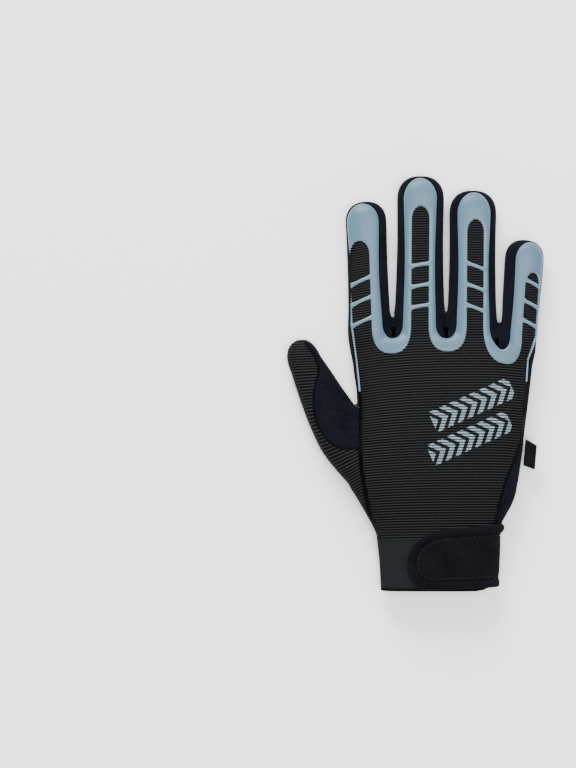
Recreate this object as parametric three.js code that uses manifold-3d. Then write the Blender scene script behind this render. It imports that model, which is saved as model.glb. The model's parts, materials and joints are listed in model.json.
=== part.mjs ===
// A mechanic's work glove for the right hand, lying palm down with its fingers along +Y.
// The hand, the fingers and the thumb are tubes lofted through a few rounded sections. The tubes are
// joined into one hollow skin one cloth thick, and the skin is cut along its seams into the panels
// that a glover sews: a ribbed back, a suede palm, side walls between the fingers, a ribbed thumb and
// its gusset. A rubber guard, gel pads and a closing strap lie on it, over a woven elastic cuff.
// Millimetres, +Z up out of the back of the hand, +X towards the little finger.
import * as THREE from "three";
import { mergeVertices } from "three/addons/utils/BufferGeometryUtils.js";
import Module from "manifold-3d";

const wasm = await Module();
wasm.setup();

// Cloth and clearances
const CLOTH = 1.6;
const SEAM_GAP = 0.3;
const GUARD_THICKNESS = 1.1;
const PAD_THICKNESS = 1.6;

// Cuff
const CUFF_HEIGHT = 32;
const CUFF_WIDTH = 70;
const CUFF_THICKNESS = 21;
const CUFF_CORNER = 10;
const CUFF_WALL = 1.8;

// Hand
const HAND_LENGTH = 114;
const HAND_WIDTH = 106;
const HAND_THICKNESS = 25;
const PALM_LIFT = PAD_THICKNESS + SEAM_GAP;
const SEAM_RISE = 0.5;
const PALM_SEAM_HEIGHT = PALM_LIFT + CLOTH + SEAM_RISE;

// Fingers and thumb
const FINGER_LENGTH = 94.2;
const FINGER_THICKNESS = 19.5;
const TIP_LIFT = 1.6;
const WEB_DEPTH = 8;
const WINDOW_END = 7.5;
const THUMB_LENGTH = 0.807 * HAND_LENGTH;
const THUMB_WIDTH = 29.5;
const THUMB_THICKNESS = 21;
const THUMB_LEAN = THREE.MathUtils.degToRad(27.4);

// Closing strap
const STRAP_HEIGHT = 38.4;
const STRAP_LENGTH = 54.8;
const STRAP_THICKNESS = 2.6;
const STRAP_CORE_THICKNESS = 2;
const BINDING_WIDTH = 5;
const STRAP_RISE = 0.8;
const STRAP_CORNER = 1.6;
const STRAP_SHOULDER = 2.5;

// Side tag
const TAG_LENGTH = 15.5;
const TAG_REACH = 8;
const TAG_THICKNESS = 1.2;
const TAG_ROUND = 1.2;
const TAG_LEAN = THREE.MathUtils.degToRad(-26);
const TAG_SWING = THREE.MathUtils.degToRad(-5);
const TAG_PLACE = { x: 0.456, y: 0.426 };

// Touch patch, air holes, and the bars and side lines of the guard
const PATCH_LENGTH = 25.5;
const PATCH_TILT = 1.6;
const AIR_HOLE_RADIUS = 0.6;
const BAR_WIDTH = 2.3;
const SIDE_LINE_WIDTH = 1.3;

// Mesh fineness
const RING_POINTS = 16;
const HAND_RING_POINTS = 20;
const TIP_STEPS = 3;
const TIP_TURN = 0.955 * (Math.PI / 2);
const ARC_POINTS = 6;
const STRAP_END_POINTS = 10;
const HOLE_SIDES = 6;

// Section form: how square the upper and lower halves are, and how high the widest level lies
const TOP_ROUNDNESS = 2.5;
const FLOOR_ROUNDNESS = 2.6;
const FLOOR_DIP = 1.12;
const WIDEST_LEVEL = 0.42;
const TIP_ROUNDNESS = 2.3;

// Each finger: root and rootLevel are shares of the hand's width and length, length a share of the
// longest finger, lean in degrees, and the widths shares of the hand's width. strip and window are the
// edges of the ribbed strip on its back and of the open window in the rubber guard, as shares of its
// half width. windowTop, bars and holes are shares of the finger's length.
const FINGER_TABLE = [
  {
    name: "index",
    root: -0.381,
    rootLevel: 0,
    length: 0.843,
    lean: -1.95,
    rootWidth: 0.238,
    tipWidth: 0.2245,
    strip: [-0.93, 0.63],
    stripWaist: 0.08,
    window: [-0.84, 0.09],
    windowTop: 0.71,
    bars: [0.418, 0.273, 0.123],
    barSlope: 0.43,
    holes: [0.083, 0.491],
    holeShift: -0.09,
  },
  {
    name: "middle",
    root: -0.111,
    rootLevel: 0,
    length: 1,
    lean: 0.49,
    rootWidth: 0.287,
    tipWidth: 0.2566,
    strip: [-0.74, 0.69],
    stripWaist: 0.06,
    window: [-0.38, 0.36],
    windowTop: 0.81,
    bars: [0.45, 0.322, 0.196],
    barSlope: 0.18,
    holes: [0.094, 0.282, 0.47, 0.658],
    holeShift: 0.24,
  },
  {
    name: "ring",
    root: 0.1745,
    rootLevel: 0,
    length: 0.911,
    lean: 0.53,
    rootWidth: 0.279,
    tipWidth: 0.2566,
    strip: [-0.69, 0.74],
    stripWaist: 0.06,
    window: [-0.25, 0.45],
    windowTop: 0.8,
    bars: [0.483, 0.341, 0.202],
    barSlope: -0.36,
    holes: [0.084, 0.284, 0.485, 0.685],
    holeShift: 0.05,
  },
  {
    name: "little",
    root: 0.417,
    rootLevel: -0.05,
    length: 0.669,
    lean: 5.08,
    rootWidth: 0.213,
    tipWidth: 0.2151,
    strip: [-0.5, 0.93],
    stripWaist: 0.04,
    window: [0.1, 0.8],
    windowTop: 0.7,
    bars: [0.598, 0.406, 0.229],
    barSlope: -0.45,
    holes: [0.098, 0.384, 0.67],
    holeShift: 0.34,
  },
];

// The same fingers with their lengths and widths in millimetres and their axes in plan.
const FINGERS = FINGER_TABLE.map((row) => {
  const lean = THREE.MathUtils.degToRad(row.lean);
  const along = new THREE.Vector2(Math.sin(lean), Math.cos(lean));
  return {
    ...row,
    length: row.length * FINGER_LENGTH,
    rootWidth: row.rootWidth * HAND_WIDTH,
    tipWidth: row.tipWidth * HAND_WIDTH,
    origin: new THREE.Vector2(
      row.root * HAND_WIDTH,
      CUFF_HEIGHT + HAND_LENGTH * (1 + row.rootLevel),
    ),
    along,
    across: new THREE.Vector2(along.y, -along.x),
  };
});

// Sections along a finger, from inside the hand to where the tip begins to round: at is a share of the
// finger's length, wide and top shares of its width and thickness, floor a share of the tip's lift.
const FINGER_SECTIONS = [
  { at: -0.17, wide: 0.84, top: 0.8, floor: 1.9 },
  { at: 0, wide: 1, top: 1, floor: 0.7 },
  { at: 0.25, wide: 0.98, top: 0.97, floor: 0 },
  { at: 0.6, wide: 0.98, top: 0.91, floor: 0.3 },
];
// Between two fingers: how far the back's notch and the guard's loop dip under it, in web depths.
const WEBS = [
  { notch: 1, loop: 2.1 },
  { notch: 1, loop: 1.95 },
  { notch: 1.4, loop: 2.45 },
];
const TIP_TOP = 0.86;
const TIP_FLOOR = 0.8;

// Sections along the hand, from the cuff seam to the fingers: at is a share of the hand's length,
// left and right shares of its width, top a share of its thickness, floor a share of the palm's lift.
const HAND_SECTIONS = [
  { at: 0, left: -0.347, right: 0.318, top: 0.83, floor: 0.1 },
  { at: 0.066, left: -0.378, right: 0.34, top: 0.88, floor: 0.7 },
  { at: 0.179, left: -0.447, right: 0.403, top: 0.95, floor: 1 },
  { at: 0.282, left: -0.51, right: 0.428, top: 0.99, floor: 1 },
  { at: 0.405, left: -0.52, right: 0.447, top: 1, floor: 1 },
  { at: 0.538, left: -0.476, right: 0.465, top: 1, floor: 1 },
  { at: 0.672, left: -0.454, right: 0.482, top: 0.98, floor: 1 },
  { at: 0.846, left: -0.472, right: 0.503, top: 0.91, floor: 1 },
  { at: 1, left: -0.486, right: 0.517, top: 0.8, floor: 1 },
  { at: 1.046, left: -0.47, right: 0.49, top: 0.66, floor: 1.6 },
  { at: 1.077, left: -0.45, right: 0.46, top: 0.45, floor: 2.6 },
];

// Sections along the thumb: left and right are shares of its width, top a share of its thickness.
const THUMB_SECTIONS = [
  { at: 0, left: -0.3, right: 0.34, top: 0.9, floor: 1.6 },
  { at: 0.17, left: -0.44, right: 0.47, top: 1.02, floor: 1 },
  { at: 0.3, left: -0.51, right: 0.49, top: 1, floor: 0.4 },
  { at: 0.46, left: -0.5, right: 0.48, top: 0.95, floor: 0 },
  { at: 0.6, left: -0.455, right: 0.42, top: 0.89, floor: 0 },
  { at: 0.72, left: -0.4, right: 0.38, top: 0.83, floor: 0.2 },
  { at: 0.84, left: -0.335, right: 0.33, top: 0.77, floor: 0.5 },
];
const THUMB_TIP_SHIFT = 0.03;

// Sections along the cuff, from its open end to the hand.
const CUFF_SECTIONS = [
  { at: 0, left: -0.488, right: 0.455, top: 0.96 },
  { at: 0.5, left: -0.5, right: 0.462, top: 0.97 },
  { at: 1, left: -0.523, right: 0.47, top: 1 },
];

const lerp = THREE.MathUtils.lerp;
const power = (value, exponent) => Math.sign(value) * Math.abs(value) ** exponent;

// One rounded section: half a squarish arch above its widest level and a flattened bowl below it.
// base is the point on the tube's axis, across the unit vector over the tube, both in plan.
function sectionRing({ base, across, left, right, floor, top }, grow, count) {
  const half = (right - left) / 2 + grow;
  const middle = (left + right) / 2;
  const side = lerp(floor, top, WIDEST_LEVEL);
  const ring = [];
  for (let i = 0; i < count; i += 1) {
    const angle = (2 * Math.PI * i) / count;
    const upper = Math.sin(angle) >= 0;
    const exponent = 2 / (upper ? TOP_ROUNDNESS : FLOOR_ROUNDNESS);
    const offset = middle + half * power(Math.cos(angle), exponent);
    const reach = Math.abs(Math.sin(angle)) ** exponent;
    const z = upper
      ? side + (top + grow - side) * reach
      : Math.max(floor - grow, side - (side - floor + grow) * FLOOR_DIP * reach);
    ring.push(new THREE.Vector3(base.x + across.x * offset, base.y + across.y * offset, z));
  }
  return ring;
}

// Turns closed triangle lists into a solid that can be cut and joined.
function solidFrom(positions) {
  const geometry = new THREE.BufferGeometry();
  geometry.setAttribute("position", new THREE.Float32BufferAttribute(positions, 3));
  const merged = mergeVertices(geometry, 1e-4);
  return new wasm.Manifold(
    new wasm.Mesh({
      numProp: 3,
      vertProperties: merged.getAttribute("position").array,
      triVerts: new Uint32Array(merged.index.array),
    }),
  );
}

// A tube with flat ends through rings of equal count.
function loft(rings) {
  const positions = [];
  const triangle = (a, b, c) => [a, b, c].forEach((p) => positions.push(p.x, p.y, p.z));
  const count = rings[0].length;
  for (let r = 0; r + 1 < rings.length; r += 1) {
    for (let i = 0; i < count; i += 1) {
      const j = (i + 1) % count;
      triangle(rings[r][i], rings[r + 1][j], rings[r][j]);
      triangle(rings[r][i], rings[r + 1][i], rings[r + 1][j]);
    }
  }
  const last = rings[rings.length - 1];
  for (let i = 1; i + 1 < count; i += 1) {
    triangle(rings[0][0], rings[0][i], rings[0][i + 1]);
    triangle(last[0], last[i + 1], last[i]);
  }
  return solidFrom(positions);
}

// A solid that stands on an outline in plan, between two heights.
function prism(outline, low, high) {
  const geometry = new THREE.ExtrudeGeometry(new THREE.Shape(outline), {
    depth: high - low,
    bevelEnabled: false,
    steps: 1,
  });
  geometry.translate(0, 0, low);
  geometry.deleteAttribute("normal");
  geometry.deleteAttribute("uv");
  return solidFrom(Array.from(geometry.getAttribute("position").array));
}

const join = (solids) => solids.reduce((whole, solid) => whole.add(solid));
const point = (x, y) => new THREE.Vector2(x, y);

// Levels that the cutters reach past, above and below the whole glove.
const ABOVE = HAND_THICKNESS * 3;
const BELOW = -HAND_THICKNESS;
const OUTSIDE = HAND_WIDTH * 1.5;

const fingerWidth = (finger, at) =>
  lerp(finger.rootWidth, finger.tipWidth, THREE.MathUtils.clamp(at * 2, 0, 1));

// A point on a finger in plan, from a share of its length and an offset across it.
function onFinger(finger, at, offset) {
  const onAxis = finger.origin.clone().addScaledVector(finger.along, at * finger.length);
  return onAxis.addScaledVector(finger.across, offset);
}

// Rings that round off a tube's tip: each is a smaller copy of the last full section.
function tipRings(shoulder, reach, along, grow) {
  const rings = [];
  const side = lerp(shoulder.floor, shoulder.top, WIDEST_LEVEL);
  for (let i = 1; i <= TIP_STEPS; i += 1) {
    const angle = (i / TIP_STEPS) * TIP_TURN;
    const shrink = Math.cos(angle) ** (2 / TIP_ROUNDNESS);
    const ahead = Math.sin(angle) ** (2 / TIP_ROUNDNESS);
    const middle = (shoulder.left + shoulder.right) / 2 + (shoulder.tipShift ?? 0) * ahead;
    const half = ((shoulder.right - shoulder.left) / 2 + grow) * shrink - grow;
    rings.push(
      sectionRing(
        {
          base: shoulder.base.clone().addScaledVector(along, (reach + grow) * ahead),
          across: shoulder.across,
          left: middle - half,
          right: middle + half,
          floor: side - (side - shoulder.floor + grow) * shrink + grow,
          top: side + (shoulder.top - side + grow) * shrink - grow,
        },
        grow,
        RING_POINTS,
      ),
    );
  }
  return rings;
}

function fingerTube(finger, grow) {
  const section = (at, wide, top, floor) => {
    const half = (fingerWidth(finger, at) * wide) / 2;
    return {
      base: onFinger(finger, at, 0),
      across: finger.across,
      left: -half,
      right: half,
      top: top * FINGER_THICKNESS,
      floor: floor * TIP_LIFT,
    };
  };
  const reach = finger.tipWidth / 2;
  const shoulder = section(1 - reach / finger.length, 1, TIP_TOP, TIP_FLOOR);
  const rings = FINGER_SECTIONS.map((row) =>
    sectionRing(section(row.at, row.wide, row.top, row.floor), grow, RING_POINTS),
  );
  rings.push(sectionRing(shoulder, grow, RING_POINTS));
  return loft([...rings, ...tipRings(shoulder, reach, finger.along, grow)]);
}

// The thumb's axis starts inside the heel of the hand and leans out from it. Its first section moves
// with the surface, so that the wall there is a cloth thick too.
const THUMB_ALONG = point(-Math.sin(THUMB_LEAN), Math.cos(THUMB_LEAN));
const THUMB_ACROSS = point(THUMB_ALONG.y, -THUMB_ALONG.x);
const THUMB_ROOT = point(-0.395 * HAND_WIDTH, CUFF_HEIGHT + 0.268 * HAND_LENGTH);

function onThumb(at, offset) {
  const onAxis = THUMB_ROOT.clone().addScaledVector(THUMB_ALONG, at * THUMB_LENGTH);
  return onAxis.addScaledVector(THUMB_ACROSS, offset * THUMB_WIDTH);
}

function thumbTube(grow) {
  const section = ({ at, left, right, top, floor }) => ({
    base: onThumb(at > 0 ? at : -grow / THUMB_LENGTH, 0),
    across: THUMB_ACROSS,
    left: left * THUMB_WIDTH,
    right: right * THUMB_WIDTH,
    top: top * THUMB_THICKNESS,
    floor: floor * TIP_LIFT,
    tipShift: THUMB_TIP_SHIFT * THUMB_WIDTH,
  });
  const sections = THUMB_SECTIONS.map(section);
  const shoulder = sections[sections.length - 1];
  const reach = THUMB_LENGTH * (1 - THUMB_SECTIONS[THUMB_SECTIONS.length - 1].at);
  const rings = sections.map((row) => sectionRing(row, grow, RING_POINTS));
  return loft([...rings, ...tipRings(shoulder, reach, THUMB_ALONG, grow)]);
}

// The hand begins with the cuff's last section, so that the two meet at the seam.
function handRows() {
  const wrist = CUFF_SECTIONS[2];
  const scale = CUFF_WIDTH / HAND_WIDTH;
  const first = {
    ...HAND_SECTIONS[0],
    left: wrist.left * scale,
    right: wrist.right * scale,
    top: CUFF_THICKNESS / HAND_THICKNESS,
  };
  return [first, ...HAND_SECTIONS.slice(1)];
}

// Sections across the hand and the cuff lie square to Y. extend pushes the first one further down.
function straightTube(rows, { start, length, width, thickness, lift }, grow, extend) {
  const across = point(1, 0);
  return loft(
    rows.map((row, i) => {
      const y = start + row.at * (length + (row.at > 1 ? grow : 0)) - (i === 0 ? extend : 0);
      const section = {
        base: point(0, y),
        across,
        left: row.left * width,
        right: row.right * width,
        top: row.top * thickness,
        floor: (row.floor ?? 0) * lift,
      };
      return sectionRing(section, grow, HAND_RING_POINTS);
    }),
  );
}

const HAND = {
  start: CUFF_HEIGHT,
  length: HAND_LENGTH,
  width: HAND_WIDTH,
  thickness: HAND_THICKNESS,
  lift: PALM_LIFT,
};
const CUFF = {
  start: 0,
  length: CUFF_HEIGHT,
  width: CUFF_WIDTH,
  thickness: CUFF_THICKNESS,
  lift: 0,
};

// Everything above the cuff seam, its surface moved outwards by grow.
function gloveBody(grow, extend = 0) {
  return join([
    straightTube(handRows(), HAND, grow, extend),
    ...FINGERS.map((finger) => fingerTube(finger, grow)),
    thumbTube(grow),
  ]);
}

// Half an ellipse from one point to another, bulging by depth along outward.
function halfEllipse(from, to, outward, depth) {
  const middle = from.clone().add(to).multiplyScalar(0.5);
  const arm = from.clone().sub(middle);
  const points = [];
  for (let i = 0; i <= ARC_POINTS; i += 1) {
    const angle = (Math.PI * i) / ARC_POINTS;
    points.push(
      middle
        .clone()
        .addScaledVector(arm, Math.cos(angle))
        .addScaledVector(outward, depth * Math.sin(angle)),
    );
  }
  return points;
}

// How far up a strip it is narrowest, and how far a web's side walls reach down and past the tips.
const STRIP_WAIST_LEVEL = 0.55;
const WEB_ZONE = { low: -1.15, high: 1.2 };

// Part of a comb outline: up one edge of a finger, round its end and down the other edge.
function combTooth(finger, edges, topShare, endDepth, grow) {
  const half = finger.tipWidth / 2;
  const waist = finger.stripWaist * half;
  const [left, right] = [edges[0] * half - grow, edges[1] * half + grow];
  const level = WEB_DEPTH / finger.length;
  const narrow = topShare * STRIP_WAIST_LEVEL;
  return [
    onFinger(finger, level, left),
    onFinger(finger, narrow, left + waist),
    ...halfEllipse(
      onFinger(finger, topShare, left),
      onFinger(finger, topShare, right),
      finger.along,
      endDepth + grow,
    ),
    onFinger(finger, narrow, right - waist),
    onFinger(finger, level, right),
  ];
}

// An outline with a tooth for each finger and a round notch between two teeth.
function comb(tooth, notchDepth) {
  const down = point(0, -1);
  const outline = [];
  FINGERS.forEach((finger, i) => {
    const teeth = tooth(finger);
    if (i > 0) {
      const previous = outline[outline.length - 1];
      const arc = halfEllipse(previous, teeth[0], down, notchDepth(WEBS[i - 1]));
      outline.push(...arc.slice(1, -1));
    }
    outline.push(...teeth);
  });
  return outline;
}

const atHand = (x, y) => point(x * HAND_WIDTH, CUFF_HEIGHT + y * HAND_LENGTH);

// The seams down both sides of the hand's back, from the fingers to the cuff.
const LITTLE_SIDE_SEAM = [
  { x: 0.484, y: 0.897 },
  { x: 0.469, y: 0.698 },
  { x: 0.447, y: 0.495 },
  { x: 0.353, y: 0.252 },
  { x: 0.32, y: 0.138 },
  { x: 0.305, y: -0.129 },
];
const THUMB_SIDE_SEAM = [
  { x: -0.34, y: -0.129 },
  { x: -0.343, y: 0 },
  { x: -0.378, y: 0.1 },
  { x: -0.424, y: 0.297 },
  { x: -0.439, y: 0.437 },
  { x: -0.443, y: 0.719 },
  { x: -0.462, y: 0.895 },
];
// How far down the hand the guard's two side lines run, as shares of its length.
const SIDE_LINE_FOOT = { thumb: 0.73, little: 0.78 };
const seamPoints = (rows) => rows.map(({ x, y }) => atHand(x, y));

// The outline of the ribbed back: a comb of finger strips over the back of the hand.
function backOutline(grow) {
  const tooth = (finger) => {
    const tip = finger.tipWidth / 2;
    const end = 1 - (tip + SEAM_GAP) / finger.length;
    return combTooth(finger, finger.strip, end, tip - CLOTH * 0.7, grow);
  };
  const sides = [
    ...seamPoints(LITTLE_SIDE_SEAM).map((p) => p.add(point(grow, 0))),
    ...seamPoints(THUMB_SIDE_SEAM).map((p) => p.add(point(-grow, 0))),
  ];
  return [...comb(tooth, (web) => WEB_DEPTH * web.notch - grow), ...sides];
}

// The open area inside the guard: a window on each finger, joined over the back of the hand.
function windowOutline() {
  const tooth = (finger) => {
    const half = ((finger.window[1] - finger.window[0]) * finger.tipWidth) / 4;
    return combTooth(
      { ...finger, stripWaist: 0 },
      finger.window,
      finger.windowTop - WINDOW_END / finger.length,
      Math.max(WINDOW_END, half),
      0,
    );
  };
  const inset = point(SIDE_LINE_WIDTH, 0);
  const sides = [
    ...seamPoints(LITTLE_SIDE_SEAM).map((p) => p.sub(inset)),
    ...seamPoints(THUMB_SIDE_SEAM).map((p) => p.add(inset)),
  ];
  return [...comb(tooth, (web) => WEB_DEPTH * web.loop), ...sides];
}

// A bar of the guard across a finger's window.
function guardBar(finger, at) {
  const half = finger.tipWidth / 2;
  const [left, right] = finger.window.map((edge) => edge * half);
  const [lowEnd, highEnd] = [left - SIDE_LINE_WIDTH / 2, right + SIDE_LINE_WIDTH];
  const rise = (finger.barSlope * (highEnd - lowEnd)) / 2 / finger.length;
  const thick = BAR_WIDTH / 2 / finger.length;
  return [
    onFinger(finger, at - rise - thick, lowEnd),
    onFinger(finger, at + rise - thick, highEnd),
    onFinger(finger, at + rise + thick, highEnd),
    onFinger(finger, at - rise + thick, lowEnd),
  ];
}

// Everything past a line across the glove, between two sides.
const beyond = (y, left, right) =>
  prism(
    [point(left, y), point(right, y), point(right, OUTSIDE * 2), point(left, OUTSIDE * 2)],
    BELOW,
    ABOVE,
  );

// The hollow skin that every panel above the cuff is cut from.
const shell = gloveBody(0)
  .subtract(gloveBody(-CLOTH, CUFF_HEIGHT / 2))
  .intersect(beyond(CUFF_HEIGHT + SEAM_GAP / 2, -OUTSIDE, OUTSIDE));

// The back's panel ends at the widest level of the sides: one height on the fingers and a higher one
// on the hand, below the knuckles.
const FINGER_SIDE_LEVEL = WIDEST_LEVEL * FINGER_THICKNESS;
const HAND_SIDE_LEVEL = lerp(PALM_LIFT, HAND_THICKNESS, WIDEST_LEVEL);
const KNUCKLE_LINE = CUFF_HEIGHT + 0.88 * HAND_LENGTH;

// Everything above the side seams within the back's outline, grown outwards and downwards.
function backZone(grow, drop) {
  const outline = backOutline(grow);
  const fingers = prism(outline, FINGER_SIDE_LEVEL - drop, ABOVE);
  const pastKnuckles = beyond(KNUCKLE_LINE - grow, -OUTSIDE, OUTSIDE);
  return fingers.intersect(pastKnuckles).add(prism(outline, HAND_SIDE_LEVEL - drop, ABOVE));
}

// The plan area between the middles of two neighbouring fingers.
function webZone(left, right, inset) {
  const low = WEB_ZONE.low * WEB_DEPTH + inset;
  return [
    onFinger(left, low / left.length, inset),
    onFinger(left, WEB_ZONE.high, inset),
    onFinger(right, WEB_ZONE.high, -inset),
    onFinger(right, low / right.length, -inset),
  ];
}

const backPanel = () => shell.intersect(backZone(0, 0));
const backGap = backZone(SEAM_GAP, SEAM_GAP);

function fourchette(left, right) {
  const half = SEAM_GAP / 2;
  const zone = prism(webZone(left, right, half), PALM_SEAM_HEIGHT + half, ABOVE);
  return shell.intersect(zone).subtract(backGap);
}

// The seam on the thumb's back between its ribbed outer part and the suede gusset.
const THUMB_SEAM = [
  { at: 1.15, off: 0.14 },
  { at: 0.955, off: 0.2 },
  { at: 0.852, off: 0.24 },
  { at: 0.762, off: 0.2 },
  { at: 0.682, off: -0.06 },
  { at: 0.595, off: -0.22 },
  { at: 0.506, off: -0.32 },
  { at: 0.408, off: -0.33 },
  { at: 0.322, off: -0.27 },
  { at: 0.263, off: -0.13 },
  { at: 0.225, off: 0.16 },
  { at: 0.17, off: 0.75 },
];
const thumbSeamPoints = (shift) =>
  THUMB_SEAM.map(({ at, off }) => onThumb(at, off + shift / THUMB_WIDTH));

// The seam under the thumb and the heel of the hand, where the ribbed panel's edge is turned under.
const UNDER_THUMB_SEAM = [
  { at: 0.8, off: -0.54 },
  { at: 0.57, off: -0.37 },
  { at: 0.3, off: -0.32 },
];
const UNDER_HEEL_SEAM = [
  { x: -0.506, y: 0.307 },
  { x: -0.363, y: 0.158 },
  { x: -0.274, y: 0.053 },
  { x: -0.21, y: -0.129 },
];

// The plan areas of the ribbed thumb panel and of the gusset beside it, each inset by half a seam.
function ribbedThumbZone(inset) {
  const heel = THUMB_SIDE_SEAM.slice(0, 5).reverse();
  return [
    ...thumbSeamPoints(-inset),
    ...seamPoints(heel).map((p) => p.add(point(CLOTH * 2, 0))),
    point(-OUTSIDE, 0),
    point(-OUTSIDE, OUTSIDE),
  ];
}

function underThumbZone(inset) {
  const shift = point(-inset, 0);
  return [
    ...UNDER_THUMB_SEAM.map(({ at, off }) => onThumb(at, off).add(shift)),
    ...seamPoints(UNDER_HEEL_SEAM).map((p) => p.add(shift)),
    point(-OUTSIDE, 0),
    point(-OUTSIDE, OUTSIDE),
  ];
}

function gussetZone(inset) {
  const handSide = [atHand(-0.437, 0.462), atHand(-0.437, 0.65)];
  const crotch = [...handSide, atHand(-0.455, 0.656), onThumb(0.62, 0.62)];
  return [
    ...thumbSeamPoints(inset).slice(0, -1),
    ...crotch.map((p) => p.sub(point(inset, inset))),
    onThumb(1.15, 0.7),
  ];
}

function thumbBackCutter(inset) {
  const over = prism(ribbedThumbZone(inset), PALM_SEAM_HEIGHT + inset, ABOVE);
  const underTop = PALM_SEAM_HEIGHT + 2 * (SEAM_GAP - inset);
  return over.add(prism(underThumbZone(inset), BELOW, underTop));
}
const thumbGussetCutter = (inset) =>
  prism(gussetZone(inset), PALM_SEAM_HEIGHT + inset, ABOVE);

const thumbBack = () => shell.intersect(thumbBackCutter(SEAM_GAP / 2)).subtract(backGap);
const thumbGusset = () =>
  shell
    .intersect(thumbGussetCutter(SEAM_GAP / 2))
    .subtract(backGap)
    .subtract(prism(underThumbZone(-SEAM_GAP / 2), BELOW, PALM_SEAM_HEIGHT + SEAM_GAP));

// Air holes down the front of each finger.
function airHoles() {
  const holes = FINGERS.flatMap((finger) =>
    finger.holes.map((at) => {
      const centre = onFinger(finger, at, (finger.holeShift * finger.tipWidth) / 2);
      const rim = Array.from({ length: HOLE_SIDES }, (_, k) => {
        const angle = (2 * Math.PI * k) / HOLE_SIDES;
        const spoke = point(Math.cos(angle), Math.sin(angle));
        return centre.clone().addScaledVector(spoke, AIR_HOLE_RADIUS);
      });
      return prism(rim, BELOW, FINGER_THICKNESS * WIDEST_LEVEL);
    }),
  );
  return join(holes);
}

// The front of the index fingertip is a panel of its own.
function touchPatchCutter(inset) {
  const index = FINGERS[0];
  const half = index.tipWidth * 0.6;
  const from = 1 - (PATCH_LENGTH - inset) / index.length;
  const tilt = PATCH_TILT / index.length;
  return prism(
    [
      onFinger(index, from + tilt, -half),
      onFinger(index, from - tilt, half),
      onFinger(index, WEB_ZONE.high, half),
      onFinger(index, WEB_ZONE.high, -half),
    ],
    BELOW,
    PALM_SEAM_HEIGHT - inset,
  );
}
const touchPatch = () => shell.intersect(touchPatchCutter(SEAM_GAP / 2));

// What is left of the skin once the back, the side walls and the thumb panels are cut away.
function palmPanel() {
  const half = SEAM_GAP / 2;
  const webs = [0, 1, 2].map((i) =>
    prism(webZone(FINGERS[i], FINGERS[i + 1], -half), PALM_SEAM_HEIGHT - half, ABOVE),
  );
  const thumb = [thumbBackCutter(-half), thumbGussetCutter(-half)];
  const patch = touchPatchCutter(-half);
  return shell.subtract(join([backGap, ...webs, ...thumb, patch, airHoles()]));
}

// A layer on the body's skin, from just off it out to its own thickness.
const layer = (thickness, body = gloveBody) =>
  body(SEAM_GAP + thickness).subtract(body(SEAM_GAP));

// The rubber guard: fingertip caps, legs joined round the webs, bars and two thin side lines.
function fingerGuard() {
  const legs = backZone(-SEAM_GAP, -CLOTH);
  const bars = FINGERS.flatMap((finger) =>
    finger.bars.map((at) => prism(guardBar(finger, at), BELOW, ABOVE)),
  );
  const foot = (share) => CUFF_HEIGHT + share * HAND_LENGTH;
  const aboveFeet = join([
    beyond(foot(SIDE_LINE_FOOT.thumb), -OUTSIDE, 0),
    beyond(foot(SIDE_LINE_FOOT.little), 0, OUTSIDE),
  ]);
  const rim = legs.subtract(prism(windowOutline(), BELOW, ABOVE));
  const plan = rim.add(legs.intersect(join(bars)));
  return layer(GUARD_THICKNESS).intersect(plan).intersect(aboveFeet);
}

// The outline of the gel padding under the heel of the hand, cut into cells by two sewn channels.
const PAD_OUTLINE = [
  { x: -0.158, y: 0.859 },
  { x: 0.29, y: 0.841 },
  { x: 0.37, y: 0.795 },
  { x: 0.394, y: 0.733 },
  { x: 0.382, y: 0.446 },
  { x: 0.355, y: 0.241 },
  { x: 0.239, y: 0.177 },
  { x: 0.113, y: 0.191 },
  { x: -0.002, y: 0.318 },
  { x: -0.075, y: 0.492 },
  { x: -0.137, y: 0.676 },
  { x: -0.169, y: 0.803 },
];
const PAD_CHANNELS = [
  { left: 0.732, right: 0.666 },
  { left: 0.511, right: 0.448 },
];
const CHANNEL_WIDTH = 2;

function palmPads() {
  const outline = prism(
    PAD_OUTLINE.map(({ x, y }) => atHand(x, y)),
    0,
    PAD_THICKNESS,
  );
  const edge = (channel, side) => {
    const shift = (side * CHANNEL_WIDTH) / 2 / HAND_LENGTH;
    return [atHand(-0.14, channel.left + shift), atHand(0.39, channel.right + shift)];
  };
  const stretch = ([a, b]) => {
    const run = b.clone().sub(a);
    return [a.clone().addScaledVector(run, -0.5), b.clone().addScaledVector(run, 0.5)];
  };
  const far = [atHand(0.7, 1.5), atHand(-0.7, 1.5)];
  const near = [atHand(0.7, -0.5), atHand(-0.7, -0.5)];
  const aboveLine = (channel) => prism([...stretch(edge(channel, 1)), ...far], BELOW, ABOVE);
  const belowLine = (channel) => prism([...stretch(edge(channel, -1)), ...near], BELOW, ABOVE);
  return [
    outline.intersect(aboveLine(PAD_CHANNELS[0])),
    outline.intersect(belowLine(PAD_CHANNELS[0])).intersect(aboveLine(PAD_CHANNELS[1])),
    outline.intersect(belowLine(PAD_CHANNELS[1])),
  ];
}

// The cuff is an open tube with one corner of its open end rounded off.
function cuffOutline() {
  const half = CUFF_WIDTH;
  const corner = CUFF_SECTIONS[0].right * CUFF_WIDTH;
  return [
    point(-half, 0),
    point(corner - CUFF_CORNER, 0),
    point(corner - CUFF_CORNER / 3, CUFF_CORNER / 5),
    point(half, CUFF_CORNER),
    point(half, CUFF_HEIGHT - SEAM_GAP / 2),
    point(-half, CUFF_HEIGHT - SEAM_GAP / 2),
  ];
}

const cuffTube = (grow, extend) => straightTube(CUFF_SECTIONS, CUFF, grow, extend);

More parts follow.
